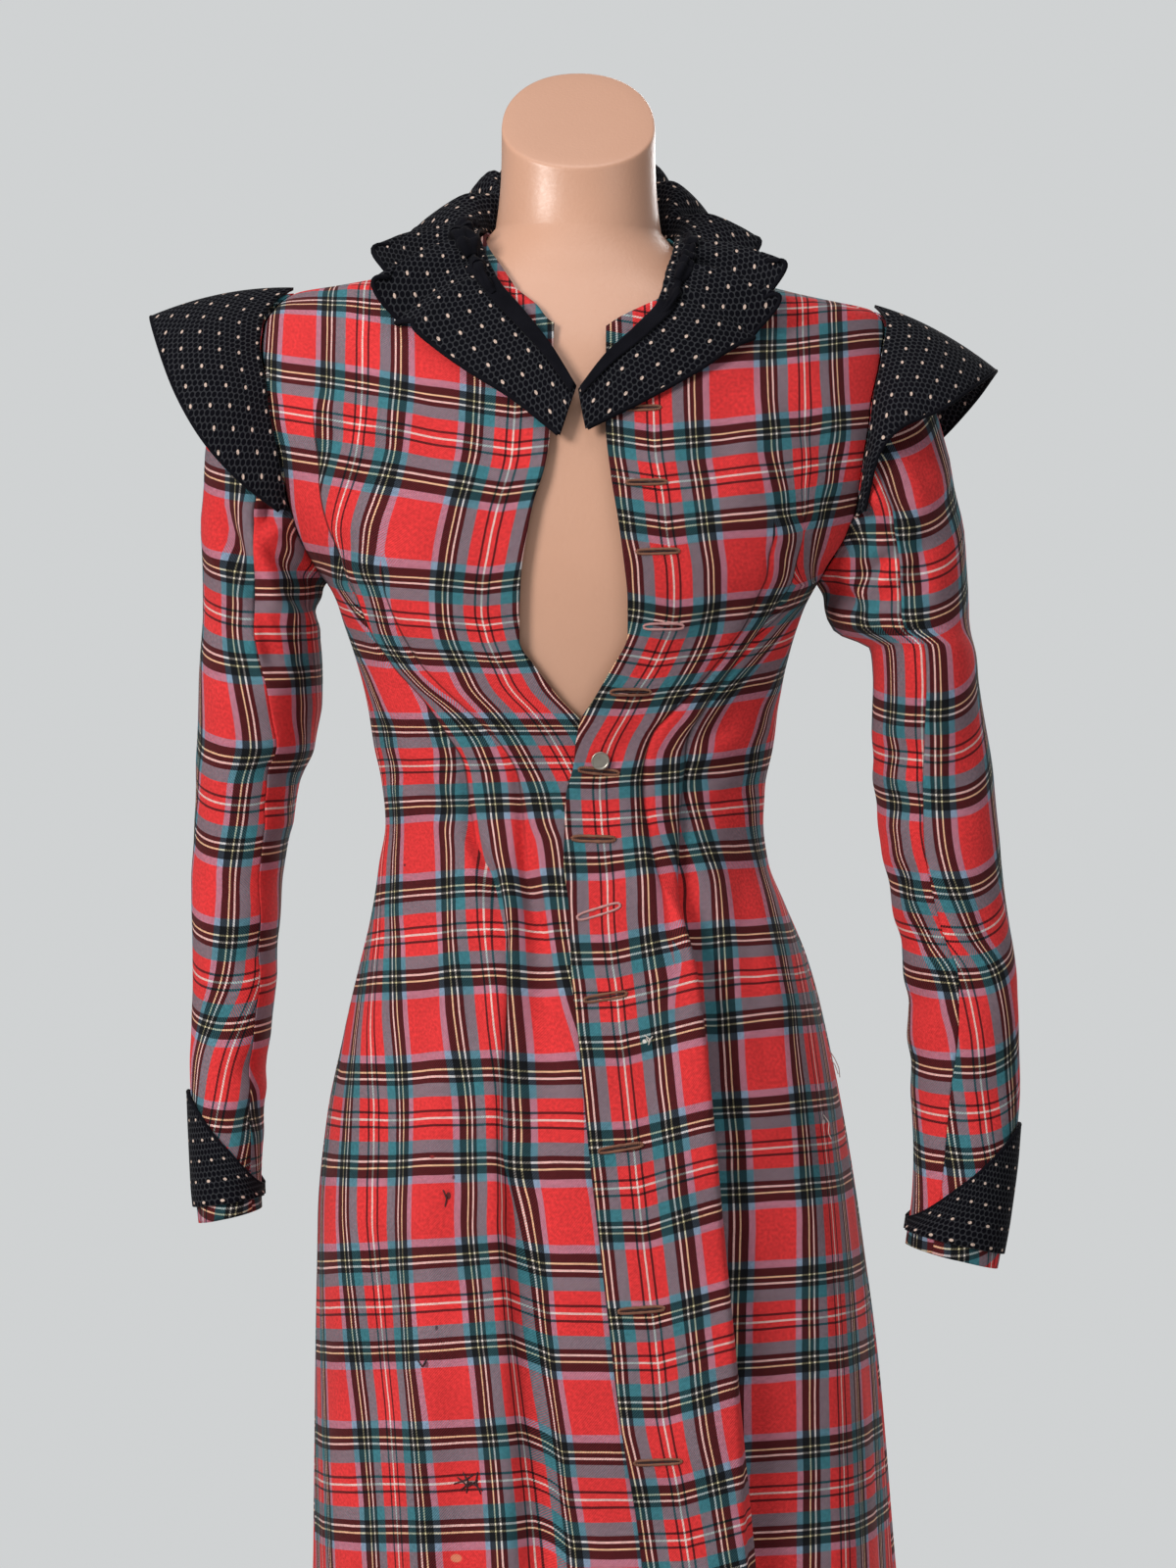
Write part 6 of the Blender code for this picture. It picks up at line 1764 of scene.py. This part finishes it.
def tube_rings(points, up, size, around, closed=False):
    """Rings round a path that is closed to a loop, or else has each end drawn to a point."""
    turn = np.linspace(0.0, 2.0 * np.pi, around + 1)[None, :, None]
    way = np.gradient(points, axis=0)
    if closed:
        way[0] = way[-1] = points[1] - points[-2]
    way = unit(way)
    sidewise = unit(np.cross(up, way))
    upward = unit(np.cross(way, sidewise))
    rings = points[:, None] + size * (np.cos(turn) * sidewise[:, None]
                                      + np.sin(turn) * upward[:, None])
    if closed:
        return rings
    ends = [np.broadcast_to(end, (1, around + 1, 3)) for end in (points[0], points[-1])]
    return np.concatenate([ends[0], rings, ends[1]])


# Sides of a tube: stitching, loose threads and the dark tubes of painted shade along the buttonhole
# slits, and covered cords.
TUBE_SIDES, THREAD_SIDES, CORD_SIDES = 8, 6, 10


def tubes(name, paths, material, around=TUBE_SIDES):
    """Threads or cords along paths, each as points, outward ways, radii and closed or not."""
    grids = []
    for points, up, radius, closed in paths:
        size = np.broadcast_to(radius, (len(points),))[:, None, None]
        grids.append(tube_rings(points, up, size, around, closed))
    return closed_round(name, grids, material)


# Buttonholes down the left front: the height and place of the middle, the length, half the
# height, the rise to the right in degrees, the thread's radius and its colour.
# Columns: level, x, length, half tall, rise, radius, thread.
HOLES = (
    (1290, 38.8, 22, 1.3, 4, 0.75, "brown"), (1244, 41.1, 24, 1.4, 2, 0.8, "brown"),
    (1202, 47.6, 25, 1.4, 3, 0.8, "brown"), (1157, 51.0, 23, 1.7, 2, 0.75, "pink"),
    (1117, 31.8, 24, 1.8, 0, 0.8, "brown"), (1069, 12.4, 24, 1.6, -6, 0.8, "brown"),
    (1027, 9.1, 25, 1.6, -2, 0.95, "brown"), (983, 12.1, 26, 2.1, 17, 0.75, "pink"),
    (932, 16.2, 25, 1.7, 9, 0.8, "brown"), (842, 25, 25, 1.5, 9, 0.85, "brown"),
    (746, 36.7, 25, 1.5, 4, 0.85, "brown"), (656, 45.9, 25, 1.4, 2, 0.8, "brown"),
)
STITCH = 1.15
STITCH_SWELL = 0.24
HOLE_END_POWER = 0.45
HOLE_SIDE_POWER = 0.7
HOLE_PLACES = 193
# Dark tube along the slit of each brown buttonhole, painted shade in the opening: its half length
# as a share of the hole's, its places, its radius and its lift off the cloth.
SLIT_SHARE = 0.44
SLIT_PLACES = 24
SLIT_RADIUS = 0.55
SLIT_LIFT = 0.1


def on_front(side, x, level, lift):
    """Places on a front's outer face at sideways places and heights, with outward ways."""
    x, level = np.broadcast_arrays(np.asarray(x, float), np.asarray(level, float))
    points, normal, _ = front_shape(side, angle_at(x, level), level)
    return points + normal * lift, normal


def buttonholes():
    loops = {"brown": [], "pink": []}
    slit_shades = []
    turn = np.linspace(0.0, 2.0 * np.pi, HOLE_PLACES)
    for level, x, length, half_tall, rise, radius, word in HOLES:
        a = 0.5 * length * signed_power(np.cos(turn), HOLE_END_POWER)
        b = half_tall * signed_power(np.sin(turn), HOLE_SIDE_POWER)
        tip = np.radians(rise)
        px = x + a * math.cos(tip) - b * math.sin(tip)
        pz = level + a * math.sin(tip) + b * math.cos(tip)
        points, normal = on_front(1, px, pz, 0.5 * radius)
        ribs = np.sin(2.0 * np.pi * run_along(points, 0) / STITCH)
        size = radius * (1.0 + STITCH_SWELL * ribs)
        size[-1] = size[0]
        loops[word].append((points, normal, size, True))
        if word == "brown":
            # Painted shade: a dark tube lies along the slit, where the opening would be in shade.
            slit = np.linspace(-SLIT_SHARE, SLIT_SHARE, SLIT_PLACES) * length
            points, normal = on_front(1, x + slit * math.cos(tip), level + slit * math.sin(tip),
                                      SLIT_LIFT)
            slit_shades.append((points, normal, SLIT_RADIUS, False))
    tubes("buttonholes_brown", loops["brown"], thread_brown)
    tubes("buttonholes_pink", loops["pink"], thread_pink)
    tubes("buttonhole_slit_shades", slit_shades, thread_dark_and_slit_shade, THREAD_SIDES)


WELD = 2e-6
THREAD_PLACES = 14
# Places along and rows across each made grid.
SLEEVE_TOP_COLUMNS = 80
SLEEVE_UNDER_COLUMNS = 48
CUFF_PLACES, CUFF_ROWS = 105, 21
CAP_PLACES, CAP_ROWS = 97, 25
COLLAR_PLACES, COLLAR_ROWS = 561, 29
BINDING_PLACES, BINDING_ROWS = 49, 7
# Radius of the covered cord on each edge.
COLLAR_CORD, CUFF_CORD, CAP_CORD = 1.5, 1.1, 1.3
# Short threads: the side of the front, then the (x, level, lift) places that each follows.
MEND_THREADS = (
    (-1, ((-72, 645, 0.3), (-66, 640, 1.2), (-60, 644, 0.3))),
    (-1, ((-70, 638, 0.3), (-64, 643, 1.4), (-57, 638, 0.4))),
    (-1, ((-69, 648, 0.3), (-66, 643, 1.0), (-67, 636, 0.3))),
    (-1, ((-60, 649, 0.3), (-61, 643, 1.2), (-58, 636, 0.3))),
    (-1, ((-74, 641, 0.3), (-69, 643, 0.9), (-63, 647, 0.4))),
    (-1, ((-93, 714, 0.3), (-90, 710, 0.9), (-88, 715, 0.3))),
    (-1, ((-80, 816, 0.3), (-78, 811, 0.9), (-79, 806, 0.3))),
)
PALE_THREADS = (
    (1, ((158, 893, 0.2), (160, 888, 2.2), (158, 882, 3.6), (161, 876, 3.0))),
    (1, ((159, 887, 0.2), (163, 884, 1.6), (165, 878, 2.4))),
    (1, ((150, 857, 0.2), (152, 852, 1.8), (150, 846, 2.8), (153, 842, 2.0))),
    (1, ((39, 907, 0.2), (40, 905, 0.7), (42, 908, 0.3))),
    (1, ((40, 903, 0.2), (41, 906, 0.8), (38, 909, 0.3))),
)


def loose_threads(name, rows, material, radius):
    paths = []
    for side, stops in rows:
        stops = np.array(stops, float)
        at = np.linspace(0.0, len(stops) - 1.0, THREAD_PLACES)
        x, level, lift = [np.interp(at, np.arange(len(stops)), stops[:, k]) for k in range(3)]
        points, normal = on_front(side, x, level, 0.0)
        paths.append((points + normal * lift[:, None], normal, radius, False))
    tubes(name, paths, material, THREAD_SIDES)


def edge_cord(name, point_at, u, radius):
    """Covered cord along the outer edge of a velvet piece."""
    v = np.ones_like(u)
    path = (point_at(u, v), sheet_normal(point_at, u, v), radius, False)
    return tubes(name, [path], plain_velvet, CORD_SIDES)


# Plain velvet gathered along the neck edge beyond each binding: where it starts and ends
# along the collar, and how thick and how folded it is there.
GATHERS = {-1: (0.150, 0.345, 6.6, 1.0), 1: (0.150, 0.325, 4.6, 0.9)}
GATHERS_ACROSS = 0.15
GATHERS_PLACES = 121
GATHERS_AROUND = 48
GATHERS_LIFT = (1.6, 1.8, 15.0)
GATHERS_UP = (0.35, -0.75, 0.85)
# Folds that wind round the roll as (depth, folds round, turns along), and folds across it as
# (depth, pace along, sway).
WINDING_FOLDS = ((0.20, 3.0, 11.0), (0.10, 5.0, -29.0))
CROSS_FOLDS = (0.24, 34.0, 1.3)


def neck_gathers(name, side):
    start, end, thick, rough = GATHERS[side]
    share = np.linspace(0.0, 1.0, GATHERS_PLACES)
    u = mix(start, end, share)
    u = u if side < 0 else 1.0 - u
    points = collar_point(u, np.full_like(u, GATHERS_ACROSS))
    up = unit(np.array(GATHERS_UP) * np.array((side, 1.0, 1.0)))
    lift, sway, pace = GATHERS_LIFT
    points = points + up * (lift + sway * np.sin(share * pace))[:, None]
    turn = np.linspace(0.0, 2.0 * np.pi, GATHERS_AROUND + 1)[None]
    swell = thick * np.sin(np.pi * np.clip(share, *ENDS)) ** 0.5
    share = share[:, None]
    broad, fine = [depth * np.sin(folds * turn + turns * share)
                   for depth, folds, turns in WINDING_FOLDS]
    depth, pace, sway = CROSS_FOLDS
    cross = depth * np.sin(pace * share + sway * np.sin(turn))
    size = (swell[:, None] * (1.0 + rough * (broad + cross + fine)))[..., None]
    rings = tube_rings(points, np.broadcast_to(up, points.shape), size, GATHERS_AROUND)
    return closed_round(name, [rings], plain_velvet)


# Columns: name, place, place that it faces, size, power, tint.
LAMPS = (
    ("key", (-2.2, -2.6, 2.3), (0.0, 0.0, 1.0), 1.3, 92.0, (1.0, 0.98, 0.95)),
    ("fill", (2.4, -2.8, 1.4), (0.0, 0.0, 1.0), 2.2, 9.0, (0.95, 0.97, 1.0)),
    ("top", (0.0, -0.6, 3.2), (0.0, 0.0, 1.2), 1.8, 15.0, (1.0, 1.0, 1.0)),
    ("back", (1.0, 2.8, 2.2), (0.0, 0.0, 1.0), 2.4, 60.0, (1.0, 1.0, 1.0)),
)
FLOOR_RADIUS = 3.0
FLOOR_SIDES = 96
FLOOR_ROUGHNESS = 0.8
FLOOR_COLOUR = (0.62, 0.62, 0.61, 1.0)
WORLD_LIGHT = (0.64, 0.65, 0.655, 1.0)
WORLD_POWER = 0.38
BACKGROUND = (0.63, 0.645, 0.65, 1.0)
CAMERA_PLACE = (0.006, -3.0, 1.061)
CAMERA_LENS = 109.76
CAMERA_SENSOR = 36.0


def floor_and_light():
    made = bmesh.new()
    bmesh.ops.create_circle(made, cap_ends=True, segments=FLOOR_SIDES, radius=FLOOR_RADIUS)
    mesh = finished_mesh("floor", made)
    floor = bpy.data.objects.new("floor", mesh)
    bpy.context.scene.collection.objects.link(floor)
    paint, net, shader = new_material("floor_paint", FLOOR_COLOUR[:3])
    net.fill(shader, {"Base Color": FLOOR_COLOUR, "Roughness": FLOOR_ROUGHNESS})
    mesh.materials.append(paint)
    for name, place, target, size, power, tint in LAMPS:
        light = bpy.data.lights.new(name, "AREA")
        light.shape = "DISK"
        light.size = size
        light.energy = power
        light.color = tint
        thing = bpy.data.objects.new(name, light)
        bpy.context.scene.collection.objects.link(thing)
        thing.location = place
        direction = Vector(np.array(target) - np.array(place))
        thing.rotation_euler = direction.to_track_quat("-Z", "Y").to_euler()
    world = bpy.data.worlds.new("studio")
    bpy.context.scene.world = world
    world.use_nodes = True
    net = Net(world.node_tree)
    ground = world.node_tree.nodes["Background"]
    net.fill(ground, {0: WORLD_LIGHT, 1: WORLD_POWER})
    seen = net.first("ShaderNodeBackground", {0: BACKGROUND, 1: 1.0})
    looked_at = net.first("ShaderNodeLightPath", (), "Is Camera Ray")
    mixed = net.first("ShaderNodeMixShader",
                      {0: looked_at, 1: Signal(net, ground.outputs[0]), 2: seen})
    net.fill(world.node_tree.nodes["World Output"], {0: mixed})


def camera():
    lens = bpy.data.cameras.new("camera")
    lens.sensor_fit = "VERTICAL"
    lens.sensor_height = CAMERA_SENSOR
    lens.lens = CAMERA_LENS
    thing = bpy.data.objects.new("camera", lens)
    bpy.context.scene.collection.objects.link(thing)
    thing.location = CAMERA_PLACE
    thing.rotation_euler = (math.pi / 2.0, 0.0, 0.0)
    bpy.context.scene.camera = thing


bpy.context.scene.view_settings.view_transform = "Standard"
camera()
floor_and_light()
right_front = make_front(-1, wool_right_front)
left_front = make_front(1, wool_left_front)
right_back = make_back(-1, wool)
left_back = make_back(1, wool)


collar = sheet("collar", collar_point, COLLAR_PLACES, COLLAR_ROWS, VELVET_WALL, velvet)
collar_cord = edge_cord("collar_cord", collar_point, np.linspace(0.002, 0.998, COLLAR_PLACES),
                        COLLAR_CORD)
for side, word in SIDES.items():
    name = "sleeve_%s_" % word
    top = sleeve_panel(name + "top", side, SLEEVE_TOP_COLUMNS, True)
    under = sleeve_panel(name + "under", side, SLEEVE_UNDER_COLUMNS, False)
    band = cuff("cuff_" + word, side)
    cord = edge_cord("cuff_%s_cord" % word, partial(cuff_middle, side),
                     np.linspace(0.0, 1.0, CUFF_PLACES), CUFF_CORD)
    cap_at = partial(cap_point, side)
    cap = sheet("cap_" + word, cap_at, CAP_PLACES, CAP_ROWS, VELVET_WALL, velvet)
    cord = edge_cord("cap_%s_cord" % word, cap_at, np.linspace(0.0, 1.0, CAP_PLACES), CAP_CORD)
    band = sheet("collar_binding_" + word, partial(binding_point, side), BINDING_PLACES,
                 BINDING_ROWS, BINDING_WALL, plain_velvet)
    neck_gathers("collar_gathers_" + word, side)
buttonholes()
loose_threads("mend_threads", MEND_THREADS, thread_dark_and_slit_shade, 0.45)
loose_threads("frayed_threads", PALE_THREADS, thread_pale, 0.3)
metal_button()
dress_form()
stand()
